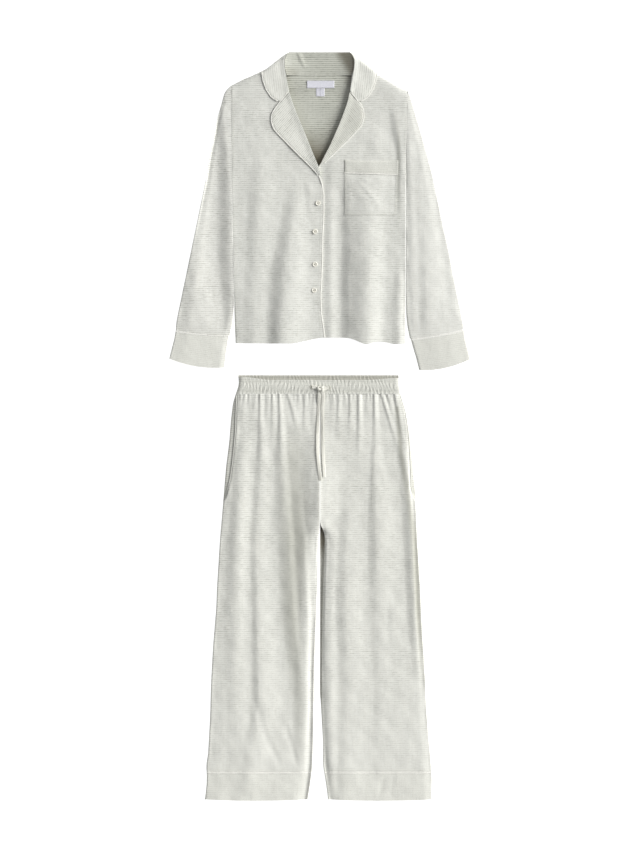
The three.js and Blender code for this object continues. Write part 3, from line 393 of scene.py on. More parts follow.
def shell(name, materials, upper, lower, origin, grain=0, grain_shift=0):
    """A closed sheet between an upper and a lower grid of points. A second material goes on its upper
    face."""
    rows, columns = upper.shape[:2]
    index = np.arange(rows * columns).reshape(rows, columns)
    under = index + rows * columns
    top = quads(index[:-1, :-1], index[:-1, 1:], index[1:, 1:], index[1:, :-1])
    base = quads(under[:-1, :-1], under[1:, :-1], under[1:, 1:], under[:-1, 1:])

    def rim(a, b):
        return quads(b[:-1], b[1:], a[1:], a[:-1])

    sides = np.concatenate([
        rim(index[0], under[0]), rim(under[-1], index[-1]),
        rim(under[:, 0], index[:, 0]), rim(index[:, -1], under[:, -1]),
    ])
    points = np.concatenate([upper.reshape(-1, 3), lower.reshape(-1, 3)])
    uv = turned(points[:, 0], points[:, 1] + grain_shift, grain)
    picks = np.repeat([len(materials) - 1, 0], [len(top), len(base) + len(sides)])
    return make_mesh(name, points, np.concatenate([top, base, sides]), uv, materials, origin, picks)


def panel(name, materials, rows, top, under, origin, spacing=FINE, along=LONG, left=True, right=True,
          bend=None, rounding=10, grain=0, grain_shift=0):
    """A panel of cloth: rows (left x, left y, right x, right y) from its hem end to its top, the heights of
    its two faces, and which of its sides are rounded edges."""
    fine = refine(rows, along, rounding)
    lx, ly, rx, ry = fine.T[:4, :, None]
    width = np.hypot(rx - lx, ry - ly)
    s = across(float(np.median(width)), spacing, left, right)[None, :]
    x = mix(lx, rx, s)
    flat_y = mix(ly, ry, s)
    steps = np.hypot(np.diff(x, axis=0), np.diff(flat_y, axis=0))
    from_start = np.concatenate([np.zeros((1, x.shape[1])), np.cumsum(steps, axis=0)])
    y = bend(x, flat_y) if bend else flat_y
    p = SimpleNamespace(
        x=x, y=y, s=s + 0 * x, from_left=s * width, from_right=(1 - s) * width,
        from_start=from_start, from_end=from_start[-1:] - from_start,
    )
    upper = np.stack([x, y, top(p)], -1)
    lower = np.stack([x, y, np.minimum(under(p), upper[..., 2] - THINNEST)], -1)
    return shell(name, materials, upper, lower, origin, grain, grain_shift)


def tube(name, materials, rings, top, origin, wall=WALL, proud=0, spacing=3.2, along=LONG, under_spacing=7,
         rounding=10, grain=0):
    """A flattened tube of cloth on the surface, open at both ends: rings (left x, left y, right x, right y,
    sag), with the upper face as on a panel and `proud` standing out from it."""
    fine = refine(rings, along, rounding)
    lx, ly, rx, ry, sag = fine.T[:, :, None]
    width = np.hypot(rx - lx, ry - ly)
    typical = float(np.median(width))
    s_upper = across(typical, spacing)[None, :]
    s_lower = np.linspace(1, 0, max(4, round(typical / under_spacing)) + 1)[None, :]

    def loop(inset):
        def side(s, height):
            place = mix(inset / width, 1 - inset / width, s)
            x = mix(lx, rx, place)
            y = mix(ly, ry, place) - sag * 4 * place * (1 - place)
            p = SimpleNamespace(x=x, y=y, s=place, from_left=place * width - inset,
                                from_right=(1 - place) * width - inset)
            return np.stack([x, y, height(p) + 0 * x], -1)

        drop = wall + proud if inset else 0
        return np.concatenate([
            side(s_upper, lambda p: top(p) + proud - drop), side(s_lower, lambda p: wall if inset else 0),
        ], axis=1)

    outer = loop(0)
    inner = loop(wall)
    rings_count, count = outer.shape[:2]
    index = np.arange(rings_count * count).reshape(rings_count, count)
    inside = index + rings_count * count
    following = np.roll(index, -1, axis=1)
    inside_next = np.roll(inside, -1, axis=1)
    faces = np.concatenate([
        quads(index[:-1], following[:-1], following[1:], index[1:]),
        quads(inside_next[:-1], inside[:-1], inside[1:], inside_next[1:]),
        quads(following[0], index[0], inside[0], inside_next[0]),
        quads(index[-1], following[-1], inside_next[-1], inside[-1]),
    ])
    points = np.concatenate([outer.reshape(-1, 3), inner.reshape(-1, 3)])
    return make_mesh(name, points, faces, turned(points[:, 0], points[:, 1], grain), materials, origin)


def sweep(name, material, path, section, origin, roll=None):
    """A closed band along a line of points (x, y, z), its section given as points (across, up). It may roll
    about the line by an angle for each point."""
    path = np.array(path, float)
    section = np.array(section, float)
    ahead = np.gradient(path, axis=0)
    ahead /= np.linalg.norm(ahead, axis=1)[:, None]
    side = np.stack([ahead[:, 1], -ahead[:, 0], np.zeros(len(path))], -1)
    side /= np.linalg.norm(side, axis=1)[:, None]
    up = np.cross(side, ahead)
    angle = np.zeros(len(path)) if roll is None else np.array(roll, float)
    right = side * np.cos(angle)[:, None] + up * np.sin(angle)[:, None]
    above = up * np.cos(angle)[:, None] - side * np.sin(angle)[:, None]
    points = path[:, None] + right[:, None] * section[None, :, :1] + above[:, None] * section[None, :, 1:]
    rows, count = points.shape[:2]
    index = np.arange(rows * count).reshape(rows, count)
    following = np.roll(index, -1, axis=1)
    closing = [
        [ring[j], ring[j + 1], ring[count - 2 - j], ring[count - 1 - j]][::turn]
        for ring, turn in ((index[0], 1), (index[-1], -1)) for j in range(count // 2 - 1)
    ]
    faces = np.concatenate([quads(index[:-1], following[:-1], following[1:], index[1:]), closing])
    length = np.concatenate([[0], np.cumsum(np.linalg.norm(np.diff(path, axis=0), axis=1))])
    around = np.concatenate([[0], np.cumsum(np.linalg.norm(np.diff(section, axis=0), axis=1))])
    uv = np.stack([length[:, None] + 0 * around, around[None, :] + 0 * length[:, None]], -1).reshape(-1, 2)
    return make_mesh(name, points.reshape(-1, 3), faces, uv, [material], origin)


def oval(width, height, sides=10, middle=0.5):
    """Section points of a rounded cord, lying on its base."""
    def full(value):
        return math.copysign(abs(value) ** 0.6, value)

    turns = [2 * math.pi * (k + 0.5) / sides for k in range(sides)]
    return [(width / 2 * full(math.cos(a)), height * (middle + 0.5 * full(math.sin(a)))) for a in turns]


def beside(path, distance):
    """Points moved sideways, to the left of the way they run."""
    path = np.array(path, float)
    step = np.concatenate([[path[1] - path[0]], path[2:] - path[:-2], [path[-1] - path[-2]]])
    step /= np.linalg.norm(step, axis=1)[:, None]
    return path + np.stack([-step[:, 1], step[:, 0]], -1) * distance


# Materials


def srgb(red, green, blue):
    """A colour read off a screen, 0 to 255, as a shader takes it."""
    def linear(c):
        c = c / 255
        return c / 12.92 if c <= 0.04045 else ((c + 0.055) / 1.055) ** 2.4
    return (linear(red), linear(green), linear(blue), 1)


class Value:
    """A number that a shader works out, with sums written as in plain code."""

    def __init__(self, finish, socket):
        self.finish = finish
        self.socket = socket

    def __add__(self, other):
        return self.finish.math("ADD", self, other)

    def __sub__(self, other):
        return self.finish.math("SUBTRACT", self, other)

    def __mul__(self, other):
        return self.finish.math("MULTIPLY", self, other)

    def clamped(self):
        self.socket.node.use_clamp = True
        return self


class Finish:
    """One material: a Principled shader and short calls for the nodes in front of it."""

    def __init__(self, name, roughness, specular=0.3):
        self.material = bpy.data.materials.new(name)
        self.material.use_nodes = True
        self.nodes = self.material.node_tree.nodes
        self.shader = self.nodes["Principled BSDF"]
        self.feed(self.shader, Roughness=roughness, Specular_IOR_Level=specular)

    def join(self, value, socket):
        """Gives an input a fixed value, or links what another node gives to it."""
        value = value.socket if isinstance(value, Value) else value
        if isinstance(value, bpy.types.NodeSocket):
            self.material.node_tree.links.new(value, socket)
        else:
            socket.default_value = value

    def feed(self, node, **values):
        for key, value in values.items():
            self.join(value, node.inputs[key.replace("_", " ")])

    def node(self, kind, settings=None, **values):
        node = self.nodes.new(kind)
        for key, value in (settings or {}).items():
            setattr(node, key, value)
        self.feed(node, **values)
        return node

    def math(self, operation, a, b=0.0):
        node = self.node("ShaderNodeMath", {"operation": operation})
        self.join(a, node.inputs[0])
        self.join(b, node.inputs[1])
        return Value(self, node.outputs[0])

    def sine(self, place, pitch):
        """A wave along a place in metres."""
        return self.math("SINE", place * (2 * math.pi / pitch))

    def cloth_coordinates(self):
        """Places on the flat cloth in metres: as a vector, along the stripes and up across them."""
        cloth = self.node("ShaderNodeUVMap", {"uv_map": "cloth"}).outputs["UV"]
        parts = self.node("ShaderNodeSeparateXYZ", Vector=cloth).outputs
        return cloth, Value(self, parts["X"]), Value(self, parts["Y"])

    def object_coordinates(self):
        return self.node("ShaderNodeTexCoord").outputs["Object"]

    def noise(self, vector, scale, detail=2.0, roughness=0.5):
        """Soft noise from 0 to 1, its scale given for each axis as grains to the metre."""
        scaled = self.node("ShaderNodeMapping", Vector=vector, Scale=scale).outputs["Vector"]
        node = self.node("ShaderNodeTexNoise", Vector=scaled, Scale=1.0, Detail=detail, Roughness=roughness)
        return Value(self, node.outputs["Fac"])

    def blend(self, amount, a, b):
        node = self.node("ShaderNodeMix", {"data_type": "RGBA"})
        for socket, value in zip([s for s in node.inputs if s.enabled], (amount, a, b)):
            self.join(value, socket)
        return [s for s in node.outputs if s.enabled][0]

    def colour(self, value):
        self.feed(self.shader, Base_Color=value)

    def bump(self, height, strength, depth, under=None):
        """Raises the surface by a height, over another bump where one is given."""
        node = self.node("ShaderNodeBump", Height=height, Strength=strength, Distance=depth)
        if under:
            self.feed(node, Normal=under)
        self.feed(self.shader, Normal=node.outputs["Normal"])
        return node.outputs["Normal"]


STRIPE_PITCH = 4.8 * MM
STITCH_ACROSS = 1.15 * MM
STITCH_ALONG = 0.95 * MM


def jersey(name, pale, grey, stripe, flecks, unbroken=0.0, deep=None, fading=False, pitch=STRIPE_PITCH):
    """Fine jersey: soft stripes of a greyed yarn on a pale one, more or less broken, flecks, and knitted
    columns. Painted shade: where a piece's points carry a `shade` value, the colour is blended towards a deep
    tone that stands in for shade in hollows, along edges and deep inside the garment. Fading stripes grow
    weaker towards the hem."""
    finish = Finish(name, roughness=0.92, specular=0.18)
    cloth, x, y = finish.cloth_coordinates()
    wander = finish.noise(cloth, (22, 60, 1)) - 0.5
    wave = finish.sine(y + wander * 0.0022, pitch) * 0.5 + 0.5
    streak = finish.noise(cloth, (80, 250, 1), 3.0, 0.6)
    broken = finish.math("MAXIMUM", ((streak - 0.3) * 2.6).clamped(), unbroken)
    patch = finish.noise(cloth, (10, 16, 1), 1.0)
    strong = ((patch + 0.2) * (0.92 * stripe)).clamped()
    fleck = finish.noise(cloth, (330, 620, 1), 3.0, 0.75)
    marked = wave * broken * strong + (fleck - 0.5) * flecks
    if fading:
        marked = marked * ((y + 0.3) * 1.3).clamped()
    clouds = finish.noise(cloth, (15, 20, 1), 3.0, 0.6)
    cloth_colour = finish.blend((marked + ((clouds - 0.5) * 0.17 + 0.15)).clamped(), srgb(*pale), srgb(*grey))
    # Painted shade: the points' `shade` value blends the colour towards the deep tone
    if deep:
        shade = finish.node("ShaderNodeAttribute", {"attribute_name": "shade"}).outputs["Fac"]
        cloth_colour = finish.blend(shade, cloth_colour, srgb(*deep))
    finish.colour(cloth_colour)
    knit = finish.sine(x, STITCH_ACROSS) * 0.6 + finish.sine(y, STITCH_ALONG) * 0.4
    crinkle = finish.bump(finish.noise(cloth, (62, 15, 1), 2.0, 0.6), 0.24, 0.0022)
    finish.bump(knit + fleck * 2.0, 0.35, 0.00022, crinkle)
    finish.feed(finish.shader, Sheen_Weight=0.12, Sheen_Roughness=0.5)
    return finish.material


def woven(name, pale, shade, across_pitch, along_pitch, roughness=0.85, depth=0.0002):
    """A closely woven trim: crossing threads, with a slow change of tone."""
    finish = Finish(name, roughness=roughness, specular=0.25)
    cloth, x, y = finish.cloth_coordinates()
    threads = finish.sine(x, along_pitch * MM) * 0.4 + finish.sine(x + y, across_pitch * MM) * 0.6
    tone = finish.noise(cloth, (160, 160, 1), 3.0)
    finish.colour(finish.blend((tone * 0.9).clamped(), srgb(*pale), srgb(*shade)))
    finish.bump(threads, 0.5, depth)
    return finish.material


def pearl_resin(name):
    """The buttons: cream resin with a clouded, slightly nacreous depth and fine turning marks."""
    finish = Finish(name, roughness=0.28, specular=0.5)
    place = finish.object_coordinates()
    clouds = finish.noise(place, (420, 420, 900), 4.0, 0.6)
    finish.colour(finish.blend(clouds, srgb(252, 250, 242), srgb(232, 228, 214)))
    finish.bump(finish.noise(place, (2600, 2600, 2600)), 0.12, 0.0001)
    finish.feed(finish.shader, Coat_Weight=0.35, Coat_Roughness=0.12)
    return finish.material


def sewing_thread(name, pale, shade):
    finish = Finish(name, roughness=0.7, specular=0.3)
    twist = finish.noise(finish.object_coordinates(), (2400, 2400, 2400))
    finish.colour(finish.blend(twist, srgb(*pale), srgb(*shade)))
    finish.bump(twist, 0.4, 0.0001)
    return finish.material


# Painted shade tones: the first for shade in folds and along edges, the second for deep shadow inside
# openings
SHADE_TONE = (140, 140, 126)
DEEP_SHADOW_TONE = (104, 96, 78)
JERSEY_TOP = jersey("jersey_top", (238, 238, 233), (167, 169, 160), stripe=0.78, flecks=0.9, deep=SHADE_TONE)
JERSEY_SLEEVES = {
    "left": jersey("jersey_sleeve", (241, 241, 236), (176, 176, 168), stripe=0.95, flecks=1),
    "right": jersey("jersey_sleeve_calm", (243, 243, 238), (184, 185, 177), stripe=0.6, flecks=0.9),
}
JERSEY_LEAF = jersey("jersey_leaf", (248, 248, 242), (176, 178, 168), stripe=0.8, flecks=0.6, unbroken=0.3)
JERSEY_LAPEL = jersey("jersey_lapel", (255, 255, 249), (168, 170, 159), stripe=1.2, flecks=0.5, unbroken=0.45,
                      deep=SHADE_TONE, pitch=3.9 * MM)
JERSEY_CUFF = jersey("jersey_cuff", (240, 240, 233), (178, 179, 171), stripe=0.35, flecks=0.9)
JERSEY_LEGS = jersey("jersey_legs", (241, 241, 235), (178, 179, 171), stripe=0.88, flecks=0.95, deep=SHADE_TONE,
                     fading=True)
JERSEY_BAND = jersey("jersey_band", (230, 230, 223), (172, 173, 164), stripe=0.5, flecks=1.7)
# The cloth's wrong side, as seen inside the neck and on the stand: its greyer stripes are partly the knit's
# own reverse and partly painted shade
JERSEY_REVERSE_SHADED = jersey("jersey_reverse_shaded", (222, 223, 214), (124, 126, 114), stripe=1.2, flecks=0.6,
                        unbroken=0.5, deep=DEEP_SHADOW_TONE)
JERSEY_INSIDE = jersey("jersey_inside", (236, 236, 229), (180, 181, 172), stripe=0.9, flecks=0.8,
                       deep=DEEP_SHADOW_TONE)
PIPING = woven("piping_cotton", (255, 254, 249), (240, 239, 231), 0.7, 0.5)
TAPE = woven("drawstring_tape", (243, 242, 234), (219, 218, 208), 1.1, 0.8, depth=0.0003)
LABEL_SATIN = woven("label_satin", (232, 232, 241), (215, 215, 226), 0.45, 0.3, roughness=0.5, depth=0.0001)
BUTTON_RESIN = pearl_resin("button_resin")
THREAD = sewing_thread("sewing_thread", (228, 227, 218), (196, 196, 184))


# The camera looks straight down


CAMERA_X = 0.0004
CAMERA_Y = -0.00065
PIXEL = 2.3 * MM
VIEW_HEIGHT = 853 * PIXEL
LENS = 100
SENSOR = 36


def add_camera():
    data = bpy.data.cameras.new("camera")
    data.sensor_fit = "VERTICAL"
    data.sensor_height = SENSOR
    data.lens = LENS
    data.clip_end = 20
    camera = show("camera", data)
    camera.location = (CAMERA_X, CAMERA_Y, VIEW_HEIGHT * LENS / SENSOR + FRONT_TOP * MM)
    bpy.context.scene.camera = camera


# The drawstring: one flat tape from each eyelet, through the knot, to a free tail

STRING_ROUTES = {
    "left": ([(-17.3, 948.8), (-12, 948.6), (-6.2, 946.5)],
             [(-0.6, 935), (-1.8, 905), (-3.6, 870), (-4.8, 835), (-4.4, 800), (-1.8, 765), (2, 733)]),
    "right": ([(22.4, 946.6), (18, 946.4), (13.4, 945.2)],
              [(8.4, 935), (6.9, 905), (6, 870), (6, 840), (7.4, 805), (9.6, 772), (11.4, 742)]),
}
STRING_SPACING = 2.2
BAND_FRONT_TOP = 11
BAND_RIPPLE = 0.6
KNOT = SimpleNamespace(x=3.6, y=944, half_x=8.6, half_y=7, height=5.4, points=72, tape_width=5.2,
                       tape_thick=1.5)
KNOT_RISE = 1.6
RIGHT_END_RISE = 0.9
ON_BAND = BAND_FRONT_TOP + BAND_RIPPLE + SEAM
SWAY = SimpleNamespace(angle=0.22, length=31, start={"left": 0.6, "right": 2.2})


def string_base(y):
    return mix(FRONT_TOP + SEAM, ON_BAND, smooth((y - 905) / 26))


def drawstring_path(word):
    """The middle of one end's tape: up over the band and the knot, then down along the trousers' folds."""
    bridle, tail = STRING_ROUTES[word]
    inner = [(KNOT.x - 1.5, 942.5)] if word == "left" else [(KNOT.x + 2, 942)]
    plan = refine_path(bridle + inner + tail, STRING_SPACING, 4)
    x, y = plan.T
    lift = KNOT_RISE * np.exp(-((x - KNOT.x) ** 2 + (y - KNOT.y) ** 2) / 60)
    lift += RIGHT_END_RISE if word == "right" else 0
    rise = string_base(y) + TAPE_THICK / 2 + lift * smooth((y - 915) / 20)
    rise += leg_relief(x, y) * smooth((925 - y) / 30)
    return np.concatenate([plan, rise[:, None]], axis=1)


def flat_tape(width, thick):
    """Section of a woven tape: two faces and rounded selvedges."""
    corner = [(1, 0.18), (0.86, 0.5), (0.3, 0.46)]
    face = corner + [(-x, z) for x, z in corner[::-1]]
    return [(x * (width / 2), z * thick) for x, z in face + [(-x, -z) for x, z in face]]


def knot_path():
    """The line of the tape in the knot: once over, once under, and through itself."""
    points = []
    for k in range(KNOT.points):
        t = 2 * math.pi * k / (KNOT.points - 1)
        wide = (math.sin(t) + 2 * math.sin(2 * t)) / 3
        high = (math.cos(t) - 2 * math.cos(2 * t)) / 3
        deep = -math.sin(3 * t)
        points.append((
            KNOT.x + wide * (KNOT.half_x - 1.6), KNOT.y + 0.6 + high * (KNOT.half_y - 1.6),
            ON_BAND + KNOT.height / 2 + deep * 1.5,
        ))
    return points


def drawstring():
    section = flat_tape(KNOT.tape_width, KNOT.tape_thick)
    knot = sweep("drawstring_knot_tied", TAPE, knot_path(), section, TROUSERS_ORIGIN)
    declare(knot, "drawstring_knot")
    for word in STRING_ROUTES:
        path = drawstring_path(word)
        y = path[:, 1]
        roll = SWAY.angle * np.sin(y / SWAY.length + SWAY.start[word]) * smooth((930 - y) / 60)
        section = flat_tape(TAPE_WIDTH, TAPE_THICK)
        cord = sweep(f"drawstring_{word}", TAPE, path, section, TROUSERS_ORIGIN, roll)
        declare(cord, [f"drawstring_bridle_{word}", f"drawstring_tail_{word}"])


# What a piece stands for, its painted shade and its cut


def declare(piece, nodes):
    """Hangs a piece from the root, and says which solids it stands for, if any, by hiding them."""
    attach(piece, "root")
    if nodes:
        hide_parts(*([nodes] if isinstance(nodes, str) else nodes))


def paint_shade(piece, origin, amount):
    """Paints shade: stores at each point how far its colour is darkened towards a shade tone, from its place
    in millimetres.
    """
    mesh = piece.data
    places = np.zeros(3 * len(mesh.vertices))
    mesh.vertices.foreach_get("co", places)
    x, y, z = places.reshape(-1, 3).T / MM
    layer = mesh.attributes.new("shade", "FLOAT", "POINT")
    layer.data.foreach_set("value", unit(amount(x - origin[0], y - origin[1])) * (z > WALL / 2))


def cut_of(rows, around=1, fullness=1.0):
    """The cut of a piece from its outline: flat width and length in metres, and its area."""
    rows = np.array(rows, float)
    widths = np.hypot(rows[:, 2] - rows[:, 0], rows[:, 3] - rows[:, 1])
    middle = (rows[:, :2] + rows[:, 2:4]) / 2
    outline = np.concatenate([rows[:, :2], rows[::-1, 2:4]])
    ahead = np.roll(outline, -1, axis=0)
    area = abs(float(np.sum(outline[:, 0] * ahead[:, 1] - ahead[:, 0] * outline[:, 1]))) / 2
    width = float(np.max(widths)) * around * fullness
    length = float(np.sum(np.linalg.norm(np.diff(middle, axis=0), axis=1)))
    return width * MM, length * MM, min(area * around * fullness, width * length) * MM * MM


def sew(build, node, materials, rows, *faces, held="laid", rests_on=(), fullness=1.0, slot="jersey",
        name=None, **shape):
    """Builds a piece of cloth with panel or tube, and declares what it stands for. It works out the cut that
    it was sewn from, which goes all round for a tube, but does nothing with it."""
    piece = build(name or f"{node}_cloth", materials, rows, *faces, **shape)
    declare(piece, node)
    width, length, area = cut_of(rows, 2 if build is tube else 1, fullness)
    return piece


# The top

HEM = [
    (-201, -4.5), (-60, -6), (-35, 0), (-8, 6), (2, 8), (65, 8), (88, 0), (102, -8), (116, -6), (132, -1),
    (146, -1), (158, -4), (172, -7), (200, -5),
]
NECK_EDGE = [
    (SHOULDER.left_x, SHOULDER.left_y), (-178, 602), (-131, 622), (-84, 641), (-70, NECK_SEAM_Y),
    (70, NECK_SEAM_Y), (84, 641), (131, 617.5), (SHOULDER.right_x, SHOULDER.right_y),
]
BACK_SHOULDER_FROM = 550
LEFT_FRONT_ROWS = [
    (-193, 0, 10, 0), (-194.6, 30, 7, 30), (-195.6, 65, 2.5, 63.5), (-196.6, 117, 1.2, 104),
    (-198, 172, 4.4, 172.5), (-199, 240, 5.3, 240), (-200, 300, 8, 294.4), (-200.6, 345, 8, 340),
    (-201, UNDERARM_Y, 3.4, 371.7), (-201.3, 412, -1, 399.5), (-201.6, 440, -16.3, 436),
    (-202, 482, -38.6, 491.5), (-202.4, 528, -61, 547), (-202.6, 553, -69.2, 573), (-202.8, 569, -74.8, 600),
    (-202.9, 580, -80.5, 631), (SHOULDER.left_x, SHOULDER.left_y, -SHOULDER.neck_x, SHOULDER.neck_y),
]
RIGHT_FRONT_ROWS = [
    (-22, 0, 197.6, 0), (-22, 30, 197.7, 30), (-22, 65, 197.8, 65), (-22, 110, 197.9, 117),
    (-22, 172, 198, 172), (-22, 240, 198, 240), (-22, 300, 198, 300), (-20, 350, 198, 345),
    (-12, 384, 198, UNDERARM_Y),
    (0.5, 405, 198.8, 412), (22.8, 447, 199.7, 445), (44.9, 497, 200.8, 482), (66, 553, 202, 522),
    (70, 573, 202.6, 544), (74.3, 614, 203, 559), (76, 632, 203.3, 568),
    (SHOULDER.neck_x, SHOULDER.neck_y, SHOULDER.right_x, SHOULDER.right_y),
]
LEAF_ROWS = [
    (-91, 551.8, -71, 576.5), (-101, 556.6, -72, 583), (-111, 564, -73.4, 592), (-122, 581, -76.5, 610),
    (-129.3, 603, -79.5, 626), (-130, 610.5, -80.2, 634), (-130.4, 616, -80.6, 640),
    (-130.6, 620, -80.6, 646), (-112, 634.5, -79, 654), (-88, 653.5, -74, 663),
]
LAPEL_ROWS_LEFT = [
    (-2.4, 384, 1.9, 383.5), (-13.6, 396.8, -1.4, 400.5), (-28, 411.5, -9, 418.5), (-45, 428, -16.3, 436),
    (-66.5, 449.7, -27, 463), (-88.6, 472, -38.6, 491.5), (-104, 489, -47, 512), (-109.7, 505.5, -54, 529),
    (-108, 522, -61, 547), (-97, 540.5, -65.5, 561), (-88.5, 549.5, -69, 572.6),
]
LAPEL_ROWS_RIGHT = [
    (4, 410, 10.5, 411), (13, 429, 27, 427), (22.8, 447, 42, 441), (33, 470, 58.7, 458),
    (44.9, 497, 78.4, 477.7), (51.5, 514, 95.5, 497), (57.5, 530, 100.7, 513.8), (62.5, 544, 99.4, 530.6),
    (66, 556, 95, 543), (69, 571.8, 87.8, 549.8),
]
SLEEVE_OUTER = [
    (-203.3, 589), (-218.5, 574), (-226.6, 543), (-235.8, 513), (-240, 485), (-252, 430), (-261, 375),
    (-272.6, 320), (-284, 264.5), (-295.6, 209), (-307, 154), (-318.6, 99), (-330, 43.7), (-330.8, 25.6),
]
SLEEVE_INNER = [
    (-201.3, 385), (-201, 352), (-200.9, 322), (-200.3, 294), (-199.8, 266), (-199.4, 236), (-198.9, 206),
    (-198.5, 176), (-197.8, 146), (-197.1, 118), (-196.9, 90), (-197.8, 62), (-201, 38), (-206.6, 14.2),
]
SLEEVE_OUTER_RIGHT = [
    (203.8, 576), (211, 560), (217, 538), (224, 513), (232.5, 485), (248.5, 430), (262.5, 375), (274, 320),
    (285.5, 264.5), (298.5, 209), (308.5, 154), (320, 99), (331.4, 43.7), (333, 28.4),
]
SLEEVE_INNER_RIGHT = [
    (198.3, 385), (199, 352), (199, 322), (199, 294), (199, 266), (199, 236), (199, 206), (199, 176),
    (199, 146), (199, 118), (199, 90), (200, 58), (202.6, 32), (208, 6.2),
]
CUFF_RINGS = {
    "left": [(-331.6, 22, -208.6, 11, 3), (-334.7, 4, -212.2, -10, 4.5), (-341, -20, -215.5, -36, 6.5),
             (-346, -40, -218.5, -60, 8)],
    "right": [(210.6, 2.6, 333.4, 24.6, 3), (215.4, -14, 336.5, 4, 4.5), (223, -40, 342.5, -20, 6.5),
              (229.6, -66, 347.5, -41, 8)],
}
CUFF_PIPING_RINGS = {
    "left": [(-331, 25.2, -206.9, 14, 3), (-331.5, 22.6, -208.4, 11.3, 3)],
    "right": [(209.6, 6.1, 332.9, 27.8, 3), (210.4, 3.2, 333.3, 25.2, 3)],
}


def hem_bend(x, y):
    return y + read_soft(HEM, x, 8) * unit(1 - y / 60)


def over_fall(x, y):
    """The back rises where the fall of the collar lies under its neck."""
    return (BACK_TOP + SEAM) * smooth((y - 571) / 16) * unit((178 - np.abs(x)) / 47)


def top_relief(x, y):
    calm = smooth((610 - y) / 60)
    return folds_at(TOP_FOLDS, x, y) + drift(x, y) * calm


def armhole_edge(x, y):
    shoulder_y = np.where(x < 0, SHOULDER.left_y, SHOULDER.right_y)
    level = np.where(x < 0, 8.2, 8)
    return mix(EDGE_TOP, level, smooth((y - 40) / 80) * smooth((shoulder_y - y) / 14))


def shoulder_drop(x, y):
    """Turns a front down along its slanting shoulder seam."""
    out_x = np.where(x < 0, -SHOULDER.left_x, SHOULDER.right_x)
    out_y = np.where(x < 0, SHOULDER.left_y, SHOULDER.right_y)
    slope = (SHOULDER.neck_y - out_y) / (out_x - SHOULDER.neck_x)
    return crown(((out_x - np.abs(x)) * slope + out_y - y) / np.hypot(1, slope), 14)


def front_top(p, inset=0):
    """The upper face of a shirt front, whose side seam is on its own side, -1 on the left and 1 on the
    right."""
    edge = armhole_edge(p.x, p.y)
    reach = {"left": 16, "right": 0} if p.side < 0 else {"left": 0, "right": 10}
    height = laid_top(p, left_edge=edge, right_edge=edge, relief=top_relief, inset=inset, **reach)
    low = EDGE_TOP + over_fall(p.x, p.y)
    return low + (np.maximum(height, low) - low) * shoulder_drop(p.x, p.y + inset)


def wall_under(top):
    """The lower face of a front whose wall is as thick on the flat as in its rounded edge."""
    return lambda p: np.minimum(top(p), top(p, WALL)) - WALL


def overlap_dip(x, y):
    """The right front laps under, so it dips below the left one."""
    return (FRONT_TOP - OVERLAP_TOP) * smooth((30 - x) / 20) * smooth((425 - y) / 23)


def left_front_height(x, y):
    edge = read([(0, -193), (117, -196.6), (385, -201), (600, -203)], y)
    return front_top(SimpleNamespace(x=x, y=y, from_left=x - edge, from_right=99 + 0 * x, side=-1))


def right_front_height(x, y):
    p = SimpleNamespace(x=x, y=y, from_left=99 + 0 * x, from_right=198 - x, side=1)
    return front_top(p) - overlap_dip(x, y)


def shirt_fronts():
    for side, word in SIDES:
        rows = LEFT_FRONT_ROWS if side < 0 else RIGHT_FRONT_ROWS

        def top(p, inset=0):
            p.side = side
            return front_top(p, inset) - (overlap_dip(p.x, p.y) if side > 0 else 0)

        front = sew(panel, f"shirt_front_{word}", [JERSEY_TOP], rows, top, wall_under(top), TOP_ORIGIN,
                    rests_on=["shirt_back"], left=side < 0, right=side > 0, bend=hem_bend,
                    grain_shift=1.7 * side)
        # Painted shade in the crease inside the right front's side seam
        paint_shade(front, TOP_ORIGIN, lambda x, y: folds_at(TOP_SHADE_LINES, x, y))


def shirt_back():
    rows = [
        (-193.4, 4, 197.6, 4), (-195.6, 65, 197.8, 65), (-196.8, 117, 198, 117), (-199.4, 255, 198, 255),
        (-201, UNDERARM_Y, 198, UNDERARM_Y), (-201.8, 470, 200.4, 470), (-202.2, 520, 201.6, 520),
        (-202.6, BACK_SHOULDER_FROM, 202.6, BACK_SHOULDER_FROM),
        (SHOULDER.left_x, SHOULDER.neck_y, SHOULDER.right_x, SHOULDER.neck_y),
    ]

    def neck(x, y):
        share = unit((y - BACK_SHOULDER_FROM) / (SHOULDER.neck_y - BACK_SHOULDER_FROM))
        return np.where(share > 0, mix(BACK_SHOULDER_FROM, read(NECK_EDGE, x), share), hem_bend(x, y))

    def waves(p):
        inner = smooth((60 - np.abs(p.x)) / 40) * smooth((p.y - 400) / 60)
        return 0.9 * inner * (0.5 + 0.5 * np.sin(p.y / 17 + p.x / 40)) * smooth((600 - p.y) / 20)

    back = sew(
        panel, "shirt_back", [JERSEY_TOP, JERSEY_REVERSE_SHADED], rows,
        lambda p: BACK_TOP + over_fall(p.x, p.y) + waves(p), lambda p: over_fall(p.x, p.y), TOP_ORIGIN,
        spacing=5, along=5, left=False, right=False, bend=neck, rounding=0, grain_shift=0.9,
    )
    roll = sorted((row[3], row[2]) for row in LEFT_FRONT_ROWS[9:])

    # Painted shade inside the neck: darkest towards the bottom of the V, lighter beside the left roll line,
    # and under the right collar where its shadow falls
    def inside(x, y):
        bottom = 0.78 * smooth((505 - y) / 95)
        beside_roll = 0.12 * smooth(1 - (x - read(roll, y)) / 32)
        under_right = 0.3 * smooth((x - 40 - 0.5 * (612 - y)) / 26) * smooth((y - 560) / 40)
        return bottom + beside_roll + under_right

    paint_shade(back, TOP_ORIGIN, inside)


def sleeve_relief(side):
    folds = SLEEVE_FOLDS_LEFT if side < 0 else SLEEVE_FOLDS_RIGHT
    return lambda x, y: (folds_at(folds, x, y) + drift(x + 90, y) * 0.9) * mix(0.4, 1, smooth((y - 8) / 50))


